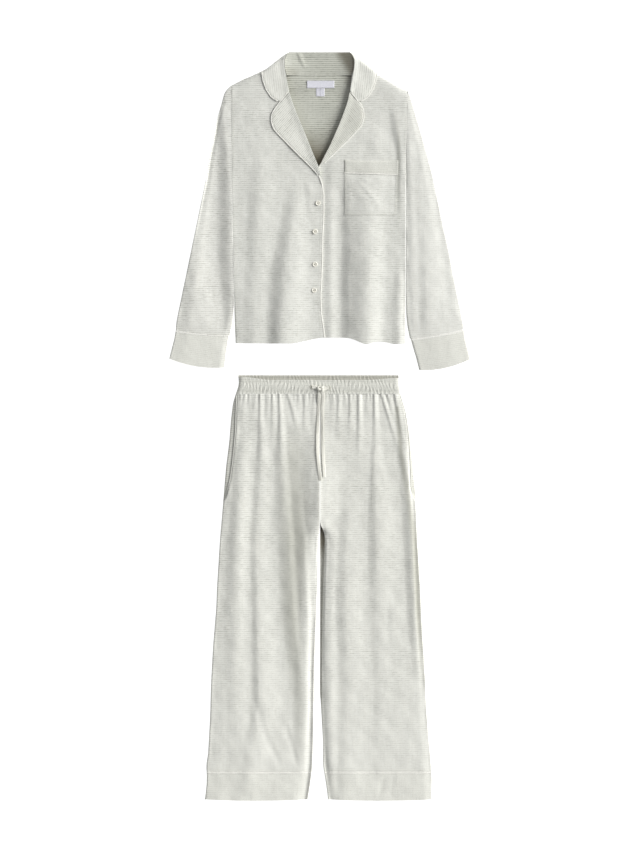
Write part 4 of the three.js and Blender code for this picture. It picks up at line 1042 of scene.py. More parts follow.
def sleeve_top(side):
    """The inner edge of a sleeve stays up beside the body and turns down below it."""
    def top(p):
        beside_body = smooth((p.y - 30) / 80)
        if side < 0:
            shape = {"left": 10, "right": 4, "right_edge": mix(EDGE_TOP, 8.5, beside_body)}
        else:
            tucked = mix(7.2, 4.2, smooth((p.y - 330) / 50))
            shape = {"left": 20, "right": 14, "left_edge": mix(EDGE_TOP, tucked, beside_body)}
        return laid_top(p, relief=sleeve_relief(side), **shape)
    return top


def sleeves():
    for side, word in SIDES:
        edges = (SLEEVE_OUTER, SLEEVE_INNER) if side < 0 else (SLEEVE_INNER_RIGHT, SLEEVE_OUTER_RIGHT)
        last = len(edges[0]) - 1
        rings = [
            (*left, *right, 3 * float(smooth((k - last + 4) / 4)))
            for k, (left, right) in enumerate(zip(*edges))
        ]
        top = sleeve_top(side)
        sew(tube, f"sleeve_{word}", [JERSEY_SLEEVES[word]], rings, top, TOP_ORIGIN, rounding=8)
        sew(tube, f"cuff_{word}", [JERSEY_CUFF], CUFF_RINGS[word], top, TOP_ORIGIN, held="folded",
            wall=FOLDED_EDGE, along=2.4, spacing=2.6, rounding=3, grain=-8 * side)
        piping = tube(f"cuff_piping_{word}_sewn", [PIPING], CUFF_PIPING_RINGS[word], top, TOP_ORIGIN,
                      proud=0.7, along=0.8, spacing=2.6, rounding=0)
        declare(piping, f"cuff_piping_{word}")


SILHOUETTE = SimpleNamespace(outer_x=130.6, outer_y=620, inner_x=71, inner_y=666)
LEAF_EDGE_UNDER = 5.5


def to_silhouette(x, y):
    """Distance to the collar's slanting outer edge, where the leaf turns down over the shoulder."""
    side = np.abs(x)
    dx = SILHOUETTE.inner_x - SILHOUETTE.outer_x
    dy = SILHOUETTE.inner_y - SILHOUETTE.outer_y
    u = unit(((side - SILHOUETTE.outer_x) * dx + (y - SILHOUETTE.outer_y) * dy) / (dx * dx + dy * dy))
    return np.hypot(side - SILHOUETTE.outer_x - u * dx, y - SILHOUETTE.outer_y - u * dy)


def leaf_under(x, y):
    return mix(LEAF_EDGE_UNDER, FRONT_TOP + SEAM, crown(to_silhouette(x, y), 9))


def roll_puff(distance):
    """The fold of the roll line stands a little proud."""
    return 1.3 * smooth(1 - distance / 14)


def turned_edge(p, thick, sides, reach=9, edge=0.35):
    """Thickness of a turned edge, rounded off towards the sides named, down to a share of it at the edge."""
    distance = np.minimum.reduce([getattr(p, f"from_{side}") for side in sides])
    return thick * mix(edge, 1, crown(distance, reach))


# The share of its thickness that a leaf or a lapel keeps at its sewn edge, beside its piping
EDGE_SHARE = {"left": 0.65, "right": 0.35}


def collar_leaves():
    for side, word in SIDES:
        rows = LEAF_ROWS if side < 0 else [(-rx, ry, -lx, ly) for lx, ly, rx, ry in LEAF_ROWS]

        def top(p):
            wave = 0.35 * np.sin(p.x / 9 + p.y / 14)
            puff = roll_puff(getattr(p, f"from_{OTHER[word]}")) * crown(to_silhouette(p.x, p.y), 9)
            edged = turned_edge(p, FOLDED_EDGE, [word], edge=EDGE_SHARE[word])
            return leaf_under(p.x, p.y) + edged + puff + wave * (
                smooth(p.from_left / 12) * smooth(p.from_right / 12))

        sew(panel, f"collar_leaf_{word}", [JERSEY_LEAF], rows, top, lambda p: leaf_under(p.x, p.y),
            TOP_ORIGIN, held="folded", rests_on=[f"shirt_front_{word}"], spacing=2, along=2, rounding=4,
            grain=84 * side)


# Painted shade: the whole right lapel is darkened by this share of the shade tone
RIGHT_LAPEL_SHADE = 0.26


def lapels():
    for side, word in SIDES:
        rows = LAPEL_ROWS_LEFT if side < 0 else LAPEL_ROWS_RIGHT

        def base(p):
            return FRONT_TOP + SEAM - (overlap_dip(p.x, p.y) if side > 0 else 0)

        def top(p):
            edged = turned_edge(p, FOLDED_EDGE, [word], edge=EDGE_SHARE[word])
            return base(p) + edged + roll_puff(getattr(p, f"from_{OTHER[word]}"))

        lapel = sew(panel, f"lapel_{word}", [JERSEY_LAPEL], rows, top, base, TOP_ORIGIN, held="folded",
                    rests_on=[f"shirt_front_{word}"], spacing=2, along=2, rounding=5, grain=-48 * side)
        if side > 0:
            paint_shade(lapel, TOP_ORIGIN, lambda x, y: RIGHT_LAPEL_SHADE + 0 * x)


def hammock(x):
    """The stand hangs between its ends, where it climbs to the leaves."""
    return 6 * np.abs(x / 76) ** 4


def level_rows(rows):
    """Rows as wide to the left as to the right, given as (half width, y)."""
    return [(-half, y, half, y) for half, y in rows]


def collar_stand():
    rows = level_rows([
        (75.5, NECK_SEAM_Y + SEAM), (79, 626), (79.8, 640), (79.5, 648), (77.5, 655), (73, 662),
        (70, COLLAR_Y - 1),
    ])

    def top(p):
        ends_up = hammock(p.x)
        crease = fold_at([(-50, 666, 6, 8, 0.8), (-44, 652, 6, 9, 1.8), (-36, 634, 6, 9, 1)], p.x, p.y)
        slack = 0.35 * np.sin(p.x / 13) * smooth((p.y - 616) / 10)
        rolled_over = 1.5 * smooth((p.y - 645) / 18)
        return BACK_TOP + SEAM + WALL + ends_up + rolled_over + crease + np.maximum(slack, 0)

    stand = sew(panel, "collar_stand", [JERSEY_REVERSE_SHADED], rows, top, lambda p: top(p) - WALL, TOP_ORIGIN,
                rests_on=["collar_fall"], spacing=2.6, along=2.4, left=False, right=False, rounding=4)
    # Painted shadow: the stand's right end darkens where the right leaf's shadow falls, its lower left part a
    # little under the roll
    paint_shade(stand, TOP_ORIGIN, lambda x, y: 0.68 * smooth((x - 29 - 0.58 * (662 - y)) / 24)
           + 0.22 * smooth((-40 - x) / 20) * smooth((640 - y) / 20))


def collar_fall():
    rows = level_rows([(124, 604), (128, 612), (129.5, 640), (130.6, COLLAR_Y)])

    def slope(x, y):
        return y - 46 * unit((np.abs(x) - 71) / 59.6) * unit((y - 612) / 54)

    sew(panel, "collar_fall", [JERSEY_LEAF], rows, lambda p: WALL + 0 * p.x, lambda p: 0 * p.x, TOP_ORIGIN,
        held="folded", spacing=5, along=5, bend=slope, rounding=0)


PIPING_OFFSET = SEAM + PIPING_WIDTH / 2


def pipe(name, node, plan, base):
    """Piping along plan points, lying at the height that base gives."""
    fine = refine_path(plan, 1.6, 4)
    path = np.concatenate([fine, base(fine[:, 0], fine[:, 1])[:, None]], axis=1)
    cord = sweep(name, PIPING, path, oval(PIPING_WIDTH, PIPING_HEIGHT), TOP_ORIGIN)
    declare(cord, node)


def edge_of(rows, pick):
    return [(row[pick], row[pick + 1]) for row in rows]


PIPING_LIFT = 0.9


def pipings():
    notch, following, *rest = edge_of(LEAF_ROWS, 0)[:-2]
    start = (mix(notch[0], following[0], 0.35), mix(notch[1], following[1], 0.35))
    leaf = beside([start, following, *rest], PIPING_OFFSET)
    pipe("collar_piping_left_sewn", "collar_piping_left", leaf, lambda x, y: leaf_under(x, y) + PIPING_LIFT)
    pipe("collar_piping_right_sewn", "collar_piping_right", leaf * np.array([-1, 1]), leaf_under)
    left = [*beside(edge_of(LAPEL_ROWS_LEFT, 0)[:-1], PIPING_OFFSET), (-90.1, 550.8), (-71.2, 573.8)]
    right = [*beside(edge_of(LAPEL_ROWS_RIGHT, 2)[:-1], -PIPING_OFFSET), (89.6, 550.8), (71.2, 573.6)]

    def in_notch(y):
        return 0.9 * smooth((y - 547) / 5)

    pipe("lapel_piping_left_sewn", "lapel_piping_left", left,
         lambda x, y: FRONT_TOP + SEAM + np.maximum(PIPING_LIFT, in_notch(y)))
    pipe("lapel_piping_right_sewn", "lapel_piping_right", right,
         lambda x, y: FRONT_TOP + SEAM - overlap_dip(x, y) + in_notch(y))
    front = np.array(edge_of(LEFT_FRONT_ROWS[:8], 2))
    front[:, 1] = hem_bend(front[:, 0], front[:, 1])
    to_lapel = [(5.6, 361), (2, 373), (-2, 381)]
    pipe("front_piping_sewn", "front_piping", [*beside(front, -PIPING_OFFSET), *to_lapel],
         lambda x, y: OVERLAP_TOP + ON_TOP + top_relief(x, y) + 1.7 * smooth((y - 346) / 24))


def pocket_base(x, y):
    return right_front_height(x, y) + SEAM


BAG_SINK = 0.8
POCKET_PIPING_LIFT = 0.7


def pocket_pieces():
    lower = POCKET.seam - PIPING_WIDTH / 2 - SEAM
    upper = POCKET.seam + 2 + PIPING_WIDTH / 2 + SEAM
    bag_rows = [
        (POCKET.left, POCKET.bottom + up, POCKET.right - narrower, POCKET.bottom + up)
        for up, narrower in ((0, 5), (30, 3.5), (60, 2.4))
    ]
    bag_rows.append((POCKET.left, lower + 2, POCKET.right - 1, lower - 2))
    creases = [
        [(84, 374, 6, 8, 0), (96, 360, 7, 11, 0.55), (120, 334, 8, 12, 0.6), (142, 308, 8, 10, 0)],
        [(92, 380, 4, 6, 0), (106, 370, 5, 8, 0.4), (126, 360, 5, 8, 0)],
        [(66, 350, 4, 6, 0), (70, 330, 5, 8, 0.3), (82, 306, 5, 8, 0)],
    ]

    def bag_top(p):
        held = smooth(np.minimum.reduce([p.from_left, p.from_right, p.from_start, p.from_end]) / 14)
        return pocket_base(p.x, p.y) - BAG_SINK + WALL + held * (0.7 + folds_at(creases, p.x, p.y))

    sew(panel, "pocket", [JERSEY_TOP], bag_rows, bag_top, lambda p: pocket_base(p.x, p.y) - BAG_SINK,
        TOP_ORIGIN, rests_on=["shirt_front_right"], spacing=2.4, along=2.4, rounding=3, grain_shift=2.4)
    band_rows = [
        (POCKET.left, upper, POCKET.right - 0.6, upper - 4),
        (POCKET.left, POCKET.seam + 17, POCKET.right - 0.3, POCKET.seam + 14),
        (POCKET.left, POCKET.top, POCKET.right, POCKET.top),
    ]

    def dip(x, y):
        """The mouth of the pocket hangs a little in its middle."""
        along = unit((x - POCKET.left) / (POCKET.right - POCKET.left))
        return y - 2.5 * np.sin(math.pi * along) * unit((y - upper) / (POCKET.top - upper))

    sew(panel, "pocket_band", [JERSEY_BAND], band_rows,
        lambda p: pocket_base(p.x, p.y) + turned_edge(p, FOLDED_EDGE, ["left", "right", "end"]),
        lambda p: pocket_base(p.x, p.y), TOP_ORIGIN, held="folded", rests_on=["shirt_front_right"],
        spacing=2.4, along=2.2, bend=dip, rounding=0)
    seam = [
        (x, POCKET.seam + 2 - 4 * (x - POCKET.left) / (POCKET.right - POCKET.left))
        for x in np.linspace(POCKET.left, POCKET.right - 1, 9)
    ]
    pipe("pocket_piping_sewn", "pocket_piping", seam, lambda x, y: pocket_base(x, y) + POCKET_PIPING_LIFT)


def tags():
    for node, size in (("neck_label", LABEL), ("size_tab", SIZE_TAB)):
        rows = [(size.left, y, size.right, y) for y in (size.bottom, size.top)]

        def base(p):
            lifted = 0.35 * smooth(p.from_end / 12) * (1 - smooth(p.from_start / 5))
            return BACK_TOP + over_fall(p.x, p.y) + ON_TOP + lifted

        sew(panel, node, [LABEL_SATIN], rows,
            lambda p: base(p) + turned_edge(p, size.thick, ["left", "right", "start"], 1), base, TOP_ORIGIN,
            held="folded", rests_on=["shirt_back"], slot="label", name=f"{node}_woven",
            spacing=1.5, along=1.5, rounding=0)


HOLES = SimpleNamespace(count=4, out=1.8, radius=0.8, corners=14, bottom=-1, top=3)
BUTTON_SIDES = 48
THREAD_WIDTH = 0.75
THREAD_HEIGHT = 0.5
BUTTON_SINK = 0.35 * MM


def circle(radius, sides, x=0, y=0):
    turns = [2 * math.pi * k / sides for k in range(sides)]
    return [(x + radius * math.cos(a), y + radius * math.sin(a)) for a in turns]


def drill_mesh():
    """Four pegs in metres, where the thread's holes go."""
    points = []
    faces = []
    n = HOLES.corners
    for cx, cy in circle(HOLES.out, HOLES.count):
        first = len(points)
        points += [(x * MM, y * MM, z * MM) for z in (HOLES.bottom, HOLES.top)
                   for x, y in circle(HOLES.radius, n, cx, cy)]
        ring = range(first, first + n)
        faces += [(j, first + (j + 1 - first) % n, first + n + (j + 1 - first) % n, j + n) for j in ring]
        faces += [tuple(reversed(ring)), tuple(j + n for j in ring)]
    mesh = bpy.data.meshes.new("button_drill")
    mesh.from_pydata(points, [], faces)
    return mesh


def evaluated(piece):
    """A plain mesh of a piece with its modifiers worked out."""
    bpy.context.view_layer.update()
    return bpy.data.meshes.new_from_object(piece.evaluated_get(bpy.context.evaluated_depsgraph_get()))


def lathe_button():
    """A round button with a raised rim and a dished middle, drilled with four holes."""
    rings = [(0.02, 1.15), (1.2, 1.15), (2.6, 1.18), (3.6, 1.3), (4.3, 1.62), (4.8, 1.8), (5.3, 1.72),
             (5.62, 1.4), (5.75, 0.9), (5.6, 0.4), (5.2, 0.1), (4.6, 0), (2.4, 0), (0.02, 0)]
    points = [(x, y, z) for r, z in rings for x, y in circle(r, BUTTON_SIDES)]
    index = np.arange(len(points)).reshape(len(rings), BUTTON_SIDES)
    following = np.roll(index, -1, axis=1)
    faces = quads(index[:-1], index[1:], following[1:], following[:-1])
    disc = make_mesh("button_blank", points, faces, [(x, y) for x, y, _ in points], [BUTTON_RESIN], (0, 0))
    closing = disc.modifiers.new("weld", "WELD")
    closing.merge_threshold = 0.05 * MM
    drill = show("button_drill", drill_mesh())
    cut = disc.modifiers.new("holes", "BOOLEAN")
    cut.object = drill
    cut.operation = "DIFFERENCE"
    cut.solver = "EXACT"
    drilled = evaluated(disc)
    bpy.data.objects.remove(disc)
    bpy.data.objects.remove(drill)
    return drilled


def buttons():
    """Each button a little turned from the one above, with its two crossing stitches."""
    drilled = lathe_button()
    for k in range(1, 5):
        low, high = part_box(f"button_{k}")
        place = Vector(((low.x + high.x) / 2, (low.y + high.y) / 2, low.z - BUTTON_SINK))
        turn = 0.5 * k
        mesh = drilled.copy()
        mesh.transform(Matrix.Translation(place) @ Matrix.Rotation(turn, 4, "Z"))
        declare(show(f"button_{k}_turned", mesh), f"button_{k}")
        for cross in (0, 1):
            angle = turn + math.pi / 2 * cross
            line = [
                (t * HOLES.out * math.cos(angle), t * HOLES.out * math.sin(angle),
                 1.2 + (0.55 + 0.25 * cross) * (1 - t ** 4))
                for t in np.linspace(-1, 1, 9)
            ]
            thread = sweep(f"button_{k}_thread_{cross + 1}", THREAD, np.array(line) + np.array(place) / MM,
                           oval(THREAD_WIDTH, THREAD_HEIGHT, 8, 0), (0, 0))
            declare(thread, [])


add_camera()
shirt_back()
shirt_fronts()
sleeves()
collar_leaves()
lapels()
collar_stand()
collar_fall()
pipings()
pocket_pieces()
tags()
buttons()


# The trousers

LEFT_OUTER = [
    (0, -264), (22, -261), (49.5, -258.8), (77, -261), (105, -256.5), (187, -252), (270, -249.6), (353, -245),
    (436, -238), (491, -235.8), (601, -229), (657, -224), (712, -219.7), (767, -215), (822, -208),
    (877, -203.6), (914, -199), (942, -189.7), (955.6, -185), (976, -187),
]
LEFT_INNER = [
    (0, -26.4), (22, -22.8), (49.5, -18.4), (77, -15.8), (132, -13.8), (298, -11.5), (436, -6.8), (546, -2.8),
    (627, 0.2), (640, 0.7),
]
RIGHT_INNER = [
    (0, 19.6), (22, 17), (49.5, 12.7), (77, 8), (132, 8), (215, 3.5), (243, 1.2), (601, 1.5), (640, 1.3),
]
RIGHT_FRONT_INNER = [
    (0, 19.6), (22, 17), (49.5, 12.7), (77, 8), (132, 8), (215, 5), (300, 5), (400, 6), (500, 8.5), (560, 11),
    (600, 12.4), (618, 10.5), (627, 4), (634, 1.4), (640, 1.3),
]
RIGHT_OUTER = [
    (0, 259.8), (49.5, 260), (77, 257.7), (187, 248.2), (325, 241.2), (381, 237), (491, 232.2), (601, 225.2),
    (712, 220.9), (767, 216.2), (822, 211.7), (850, 207.2), (877, 202.2), (914, 191), (942, 186.2),
    (955.6, 184.1), (976, 181.8),
]
LEFT_MOUTH = [(691, -216), (712, -210.7), (737, -204), (772, -199), (804, -195.5), (845, -192), (932, -189)]
RIGHT_MOUTH = [
    (691, 217.6), (712, 210.1), (768, 207.9), (812, 205.6), (856, 201.4), (894, 195.6), (932, 183.6),
]
OUTER = {"left": LEFT_OUTER, "right": RIGHT_OUTER}
INNER = {"left": LEFT_INNER, "right": RIGHT_INNER}
FRONT_INNER = {"left": LEFT_INNER, "right": RIGHT_FRONT_INNER}
MOUTH = {"left": LEFT_MOUTH, "right": RIGHT_MOUTH}
BAND_WALL = 2
BAND_BACK_TOP = 2.6
BAND_BACK_RIPPLE = 0.5
BAND_STITCH_ROWS = (WAIST_SEAM_Y + 6, BAND_TOP_Y - 5.5)


def leg_relief(x, y):
    calm = smooth((np.abs(x - 4) - 2) / 22 + smooth((720 - y) / 20))
    return folds_at(LEG_FOLDS, x, y) + gathers_at(x, y) + drift(x, y + 300) * calm


def in_order(side, outer, inner):
    """A leg's outer and inner edge as its left and its right."""
    return (outer, inner) if side < 0 else (inner, outer)


def hip_edge(y):
    """The front stands up along the mouth of its pocket, over the rounded hip of the back."""
    return smooth((y - POCKET_MOUTH_Y) / 40)


def hip_lift(side, word, x, y):
    """How far the back is raised beside the mouth of its pocket."""
    past = side * (x - read(MOUTH[word], y))
    return 3.6 * hip_edge(y) * smooth((past + 10) / 8)


def leg_top(side):
    """The fronts turn down along the inseams, and run on into each other along the centre seam."""
    def top(p, inset=0):
        sewn = 60 * smooth((p.y - CROTCH_Y + 30) / 60)
        q = SimpleNamespace(
            x=p.x, y=p.y, from_left=p.from_left + (sewn if side > 0 else 0),
            from_right=p.from_right + (sewn if side < 0 else 0),
        )
        edge = mix(EDGE_TOP, 6.8, hip_edge(p.y))
        inseam = q.from_left if side > 0 else q.from_right
        slack = (3 if side < 0 else 2.2) * smooth(inseam / 9) * (1 - smooth(inseam / 38))
        shape = {"left": 12, "right": 8, "left_edge": edge} if side < 0 else {
            "left": 8, "right": 7, "right_edge": edge}
        return laid_top(q, relief=leg_relief, inset=inset, **shape) - slack
    return top


def inner_line(side, y):
    return read(LEFT_INNER, y) if side < 0 else read(RIGHT_INNER, y) + SEAM * smooth((y - CROTCH_Y) / 20)


def leg_rows(side, outer, inner):
    heights = np.concatenate([np.arange(CUFF_SEAM_Y + 3, WAIST_SEAM_Y - 4, 9), [WAIST_SEAM_Y]])
    rows = []
    for y in heights:
        left, right = in_order(side, float(outer(y)), float(inner(y)))
        rows.append((left, float(y), right, float(y)))
    return rows


def below_crotch(x, y):
    """The backs take less light in the slit between the legs."""
    return (0.22 + 0.6 * smooth((y - 545) / 50)) * smooth((30 - np.abs(x)) / 8)


def legs():
    for side, word in SIDES:
        def outer(y):
            return read((OUTER if y < POCKET_MOUTH_Y else MOUTH)[word], y)

        def inner(y):
            line = inner_line(side, y)
            return line if side < 0 else max(line, read_soft(RIGHT_FRONT_INNER, y, 4))

        rows = leg_rows(side, outer, inner)
        top = leg_top(side)
        front = sew(panel, f"leg_front_{word}", [JERSEY_LEGS], rows, top, wall_under(top), TROUSERS_ORIGIN,
                    held="gathered", rests_on=[f"leg_back_{word}"], spacing=2.4, rounding=2,
                    grain_shift=1.3 * side)
        # Painted shade in the leg's hollows and along the right leg's outer edge
        paint_shade(front, TROUSERS_ORIGIN, lambda x, y: folds_at(LEG_SHADE_LINES, x, y))
        back_rows = leg_rows(side, lambda y: read(OUTER[word], y), lambda y: inner_line(side, y))

        def raised(p):
            return hip_lift(side, word, p.x, p.y) * crown(getattr(p, f"from_{word}"), 5)

        back = sew(
            panel, f"leg_back_{word}", [JERSEY_LEGS, JERSEY_INSIDE], back_rows,
            lambda p: BACK_TOP + raised(p), raised, TROUSERS_ORIGIN, held="gathered", spacing=4, along=COARSE,
            left=side < 0, right=side > 0, rounding=0, grain_shift=2.1,
        )
        paint_shade(back, TROUSERS_ORIGIN, below_crotch)
        leg_hem(side, word)
        pocket_welt(side, word)


def leg_hem(side, word):
    def at(y, sag=0):
        left, right = in_order(side, float(read(OUTER[word], y)), float(read(INNER[word], y)))
        return (left, y, right, y, sag)

    half = PIPING_WIDTH / 2
    top = leg_top(side)
    rings = [at(CUFF_SEAM_Y - half - SEAM), at(40), at(20, 1), at(0, 3)]
    sew(tube, f"hem_cuff_{word}", [JERSEY_CUFF], rings, top, TROUSERS_ORIGIN, held="folded", wall=FOLDED_EDGE,
        along=2.6, rounding=3)
    piping_rings = [at(CUFF_SEAM_Y + half + 1.3), at(CUFF_SEAM_Y - half)]
    piping = tube(f"hem_piping_{word}_sewn", [PIPING], piping_rings, top, TROUSERS_ORIGIN, proud=0.75,
                  along=0.65, rounding=0)
    declare(piping, f"hem_piping_{word}")


def pocket_welt(side, word):
    heights = np.linspace(POCKET_MOUTH_Y, WAIST_SEAM_Y, 40)
    plan = np.stack([read(MOUTH[word], heights) + side * (SEAM + 1.4), heights - 1], axis=-1)
    fine = refine_path(plan, 3, 6)
    base = BACK_TOP + SEAM + hip_lift(side, word, fine[:, 0], fine[:, 1])
    path = np.concatenate([fine, base[:, None]], axis=1)
    welt = sweep(f"pocket_welt_{word}_sewn", JERSEY_CUFF, path, oval(2.4, 2.2), TROUSERS_ORIGIN)
    declare(welt, f"pocket_welt_{word}")


def band_ripple(s, y):
    """Ripples of the elastic, uneven from one to the next and from its lower to its upper edge."""
    beat = RIPPLES * s + 0.3 * np.sin(17 * s + 0.09 * y) + 0.2 * np.sin(53 * s + y / 5)
    coarse = np.cos(2 * math.pi * beat) * (0.55 + 0.45 * np.sin(29 * s + y / 4))
    fine = np.cos(4 * math.pi * beat + 1.8 * np.sin(y / 4 + 9 * s)) * (0.5 + 0.5 * np.sin(37 * s - y / 3 + 2))
    return 0.58 * coarse + 0.42 * fine


def waistbands():
    def rows(heights):
        return [(float(read(LEFT_OUTER, y)), y, float(read(RIGHT_OUTER, y)), y) for y in heights]

    def from_side(p):
        return np.minimum(p.from_left, p.from_right)

    def raised(p, inset):
        drawn_in = sum(np.exp(-((p.y - row) / 1.6) ** 2) for row in BAND_STITCH_ROWS)
        rounded = BAND_FRONT_TOP - 0.8 * smooth(np.abs(p.y - 949) / 16) - 0.5 * drawn_in
        return mix(BAND_BACK_TOP + SEAM + BAND_WALL, rounded, crown(from_side(p) - inset, 9))

    def front_band_top(p):
        return raised(p, 0) + BAND_RIPPLE * band_ripple(p.s, p.y) * crown(from_side(p), 20)

    def ends_up(x, y):
        """The front's upper edge climbs towards both ends, where the two bands meet."""
        return y + (6.5 * smooth((-112 - x) / 60) + 4 * smooth((x - 105) / 70)) * unit((y - 949) / 16)

    band_rows = rows([WAIST_SEAM_Y + SEAM, 940, 949, 958, BAND_TOP_Y])
    sew(panel, "waistband_front", [JERSEY_BAND], band_rows, front_band_top,
        lambda p: raised(p, BAND_WALL) - BAND_WALL - BAND_RIPPLE * crown(from_side(p), 20), TROUSERS_ORIGIN,
        held="gathered", fullness=FULLNESS, rests_on=["waistband_back"], spacing=1.1, along=2.2, rounding=2,
        bend=ends_up)
    back_rows = rows([WAIST_SEAM_Y + SEAM, 954, BACK_BAND_TOP_Y])
    back = sew(
        panel, "waistband_back", [JERSEY_BAND, JERSEY_INSIDE], back_rows,
        lambda p: BAND_BACK_TOP - BAND_BACK_RIPPLE + BAND_BACK_RIPPLE * band_ripple(p.s + 0.004, p.y),
        lambda p: 0 * p.x, TROUSERS_ORIGIN, held="gathered", fullness=FULLNESS, spacing=1.1, along=3,
        rounding=2,
    )
    # Painted shade on the strip of the back band that shows above the front band
    paint_shade(back, TROUSERS_ORIGIN, lambda x, y: 0.4 * smooth((y - BAND_TOP_Y + 2) / 3))


legs()
waistbands()
drawstring()


# Stitching: one node tree lays stitches along every sewn line


def stitch_tree():
    tree = bpy.data.node_groups.new("sewn_stitches", "GeometryNodeTree")

    def socket(name, kind, in_out="INPUT"):
        tree.interface.new_socket(name=name, in_out=in_out, socket_type=f"NodeSocket{kind}")

    def add(kind, **settings):
        node = tree.nodes.new(kind)
        for key, value in settings.items():
            setattr(node, key, value)
        return node

    socket("Sewn lines", "Geometry")
    for name in ("Pitch", "Stitch length", "Thread thickness", "Turn"):
        socket(name, "Float")
    socket("Thread", "Material")
    socket("Stitches", "Geometry", "OUTPUT")
    given = add("NodeGroupInput")
    result = add("NodeGroupOutput")
    spaced = add("GeometryNodeResampleCurve", mode="LENGTH")
    tangent = add("GeometryNodeInputTangent")
    aligned = add("FunctionNodeAlignRotationToVector", axis="X")
    turn = add("ShaderNodeCombineXYZ")
    turn_by = add("FunctionNodeEulerToRotation")
    rotated = add("FunctionNodeRotateRotation", rotation_space="LOCAL")
    bead = add("GeometryNodeMeshUVSphere")
    for name, value in (("Segments", 6), ("Rings", 5), ("Radius", 0.5)):
        bead.inputs[name].default_value = value
    size = add("ShaderNodeCombineXYZ")
    placed = add("GeometryNodeInstanceOnPoints")
    real = add("GeometryNodeRealizeInstances")
    finish = add("GeometryNodeSetMaterial")
    for source, output, target, given_to in (
        (given, "Sewn lines", spaced, "Curve"), (given, "Pitch", spaced, "Length"),
        (tangent, 0, aligned, "Vector"), (given, "Turn", turn, "Z"), (turn, 0, turn_by, 0),
        (aligned, 0, rotated, 0), (turn_by, 0, rotated, 1),
        (given, "Stitch length", size, "X"), (given, "Thread thickness", size, "Y"),
        (given, "Thread thickness", size, "Z"), (spaced, 0, placed, "Points"),
        (bead, "Mesh", placed, "Instance"), (rotated, 0, placed, "Rotation"), (size, 0, placed, "Scale"),
        (placed, 0, real, 0),
        (real, 0, finish, "Geometry"), (given, "Thread", finish, "Material"), (finish, 0, result, "Stitches"),
    ):
        tree.links.new(source.outputs[output], target.inputs[given_to])
    return tree


STITCH_TREE = stitch_tree()


def stitch(name, lines, origin, pitch=2.9, length=2.1, thickness=0.5, turn=0.0):
    """Stitches along lines of points (x, y, z), turned into one plain mesh."""
    curve = bpy.data.curves.new(name, "CURVE")
    curve.dimensions = "3D"
    for line in lines:
        spline = curve.splines.new("POLY")
        spline.points.add(len(line) - 1)
        for point, (x, y, z) in zip(spline.points, line):
            point.co = ((x + origin[0]) * MM, (y + origin[1]) * MM, z * MM, 1)
    holder = show(name + "_lines", curve)
    modifier = holder.modifiers.new("stitches", "NODES")
    modifier.node_group = STITCH_TREE
    values = {
        "Pitch": pitch * MM, "Stitch length": length * MM, "Thread thickness": thickness * MM, "Turn": turn,
        "Thread": THREAD,
    }
    for socket in STITCH_TREE.interface.items_tree:
        if socket.name in values:
            modifier[socket.identifier] = values[socket.name]
    mesh = evaluated(holder)
    bpy.data.objects.remove(holder)
    mesh.polygons.foreach_set("use_smooth", np.ones(len(mesh.polygons), bool))
    declare(show(name, mesh), [])


def on_surface(plan, height, lift=0.12, spacing=2.4, rounding=2):
    """A sewn line along plan points, at the height of the cloth under it."""
    fine = refine_path(plan, spacing, rounding)
    z = height(fine[:, 0], fine[:, 1]) + lift
    return np.concatenate([fine, z[:, None]], axis=1).tolist()


def leg_height(side, word):
    top = leg_top(side)

    def height(x, y):
        left, right = in_order(side, read(OUTER[word], y), read(FRONT_INNER[word], y))
        return top(SimpleNamespace(x=x, y=y, from_left=x - left, from_right=right - x))
    return height


def top_stitching():
    lines = [
        on_surface([(-190, 17), (-60, 15.5), (-20, 20), (4, 26)], left_front_height),
        on_surface([(16, 26), (65, 27), (102, 14), (140, 18), (190, 15)], right_front_height),
        on_surface(beside(edge_of(LEFT_FRONT_ROWS[1:9], 2), 4.5), left_front_height),
        on_surface([(-197.5, 400), (-198, 480), (-199, 575)], left_front_height),
        on_surface([(194.5, 400), (196, 480), (198.5, 560)], right_front_height),
    ]
    inset = 2.6
    bag = [
        (POCKET.left + inset, POCKET.seam - 4), (POCKET.left + inset, POCKET.bottom + inset),
        (POCKET.right - 5 - inset, POCKET.bottom + inset), (POCKET.right - 1 - inset, POCKET.seam - 6),
    ]
    lines.append(on_surface(bag, lambda x, y: pocket_base(x, y) + WALL, rounding=0))
    lines.append(on_surface(
        [(POCKET.left + 2, POCKET.seam + 8), (POCKET.right - 2, POCKET.seam + 4.5)],
        lambda x, y: pocket_base(x, y) + FOLDED_EDGE))
    for rows, pick, word in ((LAPEL_ROWS_LEFT, 0, -1), (LAPEL_ROWS_RIGHT, 2, 1)):
        edge = beside(edge_of(rows, pick)[1:], word * 3.2)
        lines.append(on_surface(edge, lambda x, y: FRONT_TOP + FOLDED_EDGE + 0 * x))
    stitch("top_stitching", lines, TOP_ORIGIN)
    tag_lines = []
    for size in (LABEL, SIZE_TAB):
        tag_lines.append(on_surface(
            [(size.left + 1.5, size.top - 1.4), (size.right - 1.5, size.top - 1.4)],
            lambda x, y: BACK_TOP + ON_TOP + size.thick + over_fall(x, y)))
    tag_lines.append(on_surface(
        [(-66, NECK_SEAM_Y + 2.6), (66, NECK_SEAM_Y + 2.6)],
        lambda x, y: BACK_TOP + SEAM + WALL + hammock(x)))
    stitch("neck_stitching", tag_lines, TOP_ORIGIN, pitch=2.4, length=1.7, thickness=0.42)


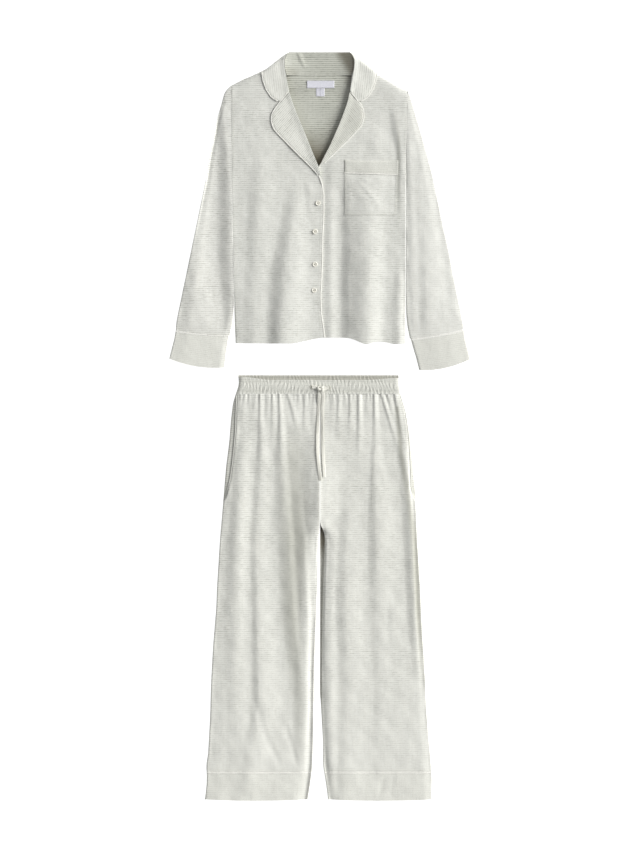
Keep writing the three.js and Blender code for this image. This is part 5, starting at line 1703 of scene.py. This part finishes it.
def trousers_stitching():
    lines = []
    for side, word in SIDES:
        height = leg_height(side, word)
        y = CUFF_SEAM_Y + 7.5
        ends = (read(OUTER[word], y) - side * 4, read(FRONT_INNER[word], y) + side * 4)
        lines.append(on_surface([(min(ends), y), (max(ends), y)], height))
        bag_x = 120 if side > 0 else -118
        bag = [
            (side * 186, 700), (side * 168, 655), (side * 140, 642), (bag_x, 665), (bag_x + side * 2, 760),
        ]
        lines.append(on_surface(bag, height, rounding=6))
        welt = [(read(MOUTH[word], t) - side * 4.5, t) for t in np.linspace(700, 925, 12)]
        lines.append(on_surface(welt, height))
    lines.append(on_surface([(-2.6, 725), (-2.6, 645)], leg_height(*SIDES[0])))
    for y in BAND_STITCH_ROWS:
        for ends in ((-172, -22), (28, 170)):
            row = [(x, y) for x in ends]
            lines.append(on_surface(row, lambda x, y: BAND_FRONT_TOP - 0.3 + 0 * x, rounding=0))
    stitch("trousers_stitching", lines, TROUSERS_ORIGIN)


EYELET = SimpleNamespace(half_width=3.4, half_height=4.2, z=BAND_FRONT_TOP + 1.05)


def eyelets():
    """A ring of close stitches where each end of the drawstring comes out of the band."""
    rings = []
    for bridle, _ in STRING_ROUTES.values():
        x, y = bridle[0]
        rings.append([
            (x + EYELET.half_width * math.cos(a), y + EYELET.half_height * math.sin(a), EYELET.z)
            for a in np.linspace(0, 2 * math.pi, 25)
        ])
    stitch("eyelet_stitching", rings, TROUSERS_ORIGIN, pitch=0.75, length=2.0, thickness=0.6,
           turn=math.pi / 2)


top_stitching()
trousers_stitching()
eyelets()


# Light and floor


def add_light():
    world = bpy.data.worlds.new("studio")
    world.use_nodes = True
    bpy.context.scene.world = world
    sky = world.node_tree.nodes["Background"]
    sky.inputs["Color"].default_value = (0.98, 0.99, 1, 1)
    sky.inputs["Strength"].default_value = 0.31
    key_data = bpy.data.lights.new("key", "SUN")
    key_data.energy = 4.75
    key_data.angle = math.radians(38)
    key_data.color = (1, 0.995, 0.97)
    key = show("key", key_data)
    key.rotation_euler = Vector((-0.86, -0.28, -0.42)).to_track_quat("-Z", "Y").to_euler()
    bpy.context.scene.view_settings.view_transform = "Standard"


FLOOR_SIZE = 8
FLOOR_BELOW = 0.0004


def add_floor():
    finish = Finish("floor_white", roughness=0.9, specular=0.0)
    finish.feed(finish.shader, Base_Color=(0.5, 0.5, 0.5, 1), Emission_Color=(1, 1, 1, 1),
                Emission_Strength=0.92)
    bpy.ops.mesh.primitive_plane_add(size=FLOOR_SIZE, location=(0, 0, -FLOOR_BELOW))
    floor = bpy.context.object
    floor.name = "floor"
    floor.data.materials.append(finish.material)
    floor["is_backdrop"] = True


add_light()
add_floor()


def corners(box):
    return [[round(float(c), 5) for c in corner] for corner in box]


bpy.context.view_layer.update()
{"solids": corners(solid_box), "scene": corners(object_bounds())}
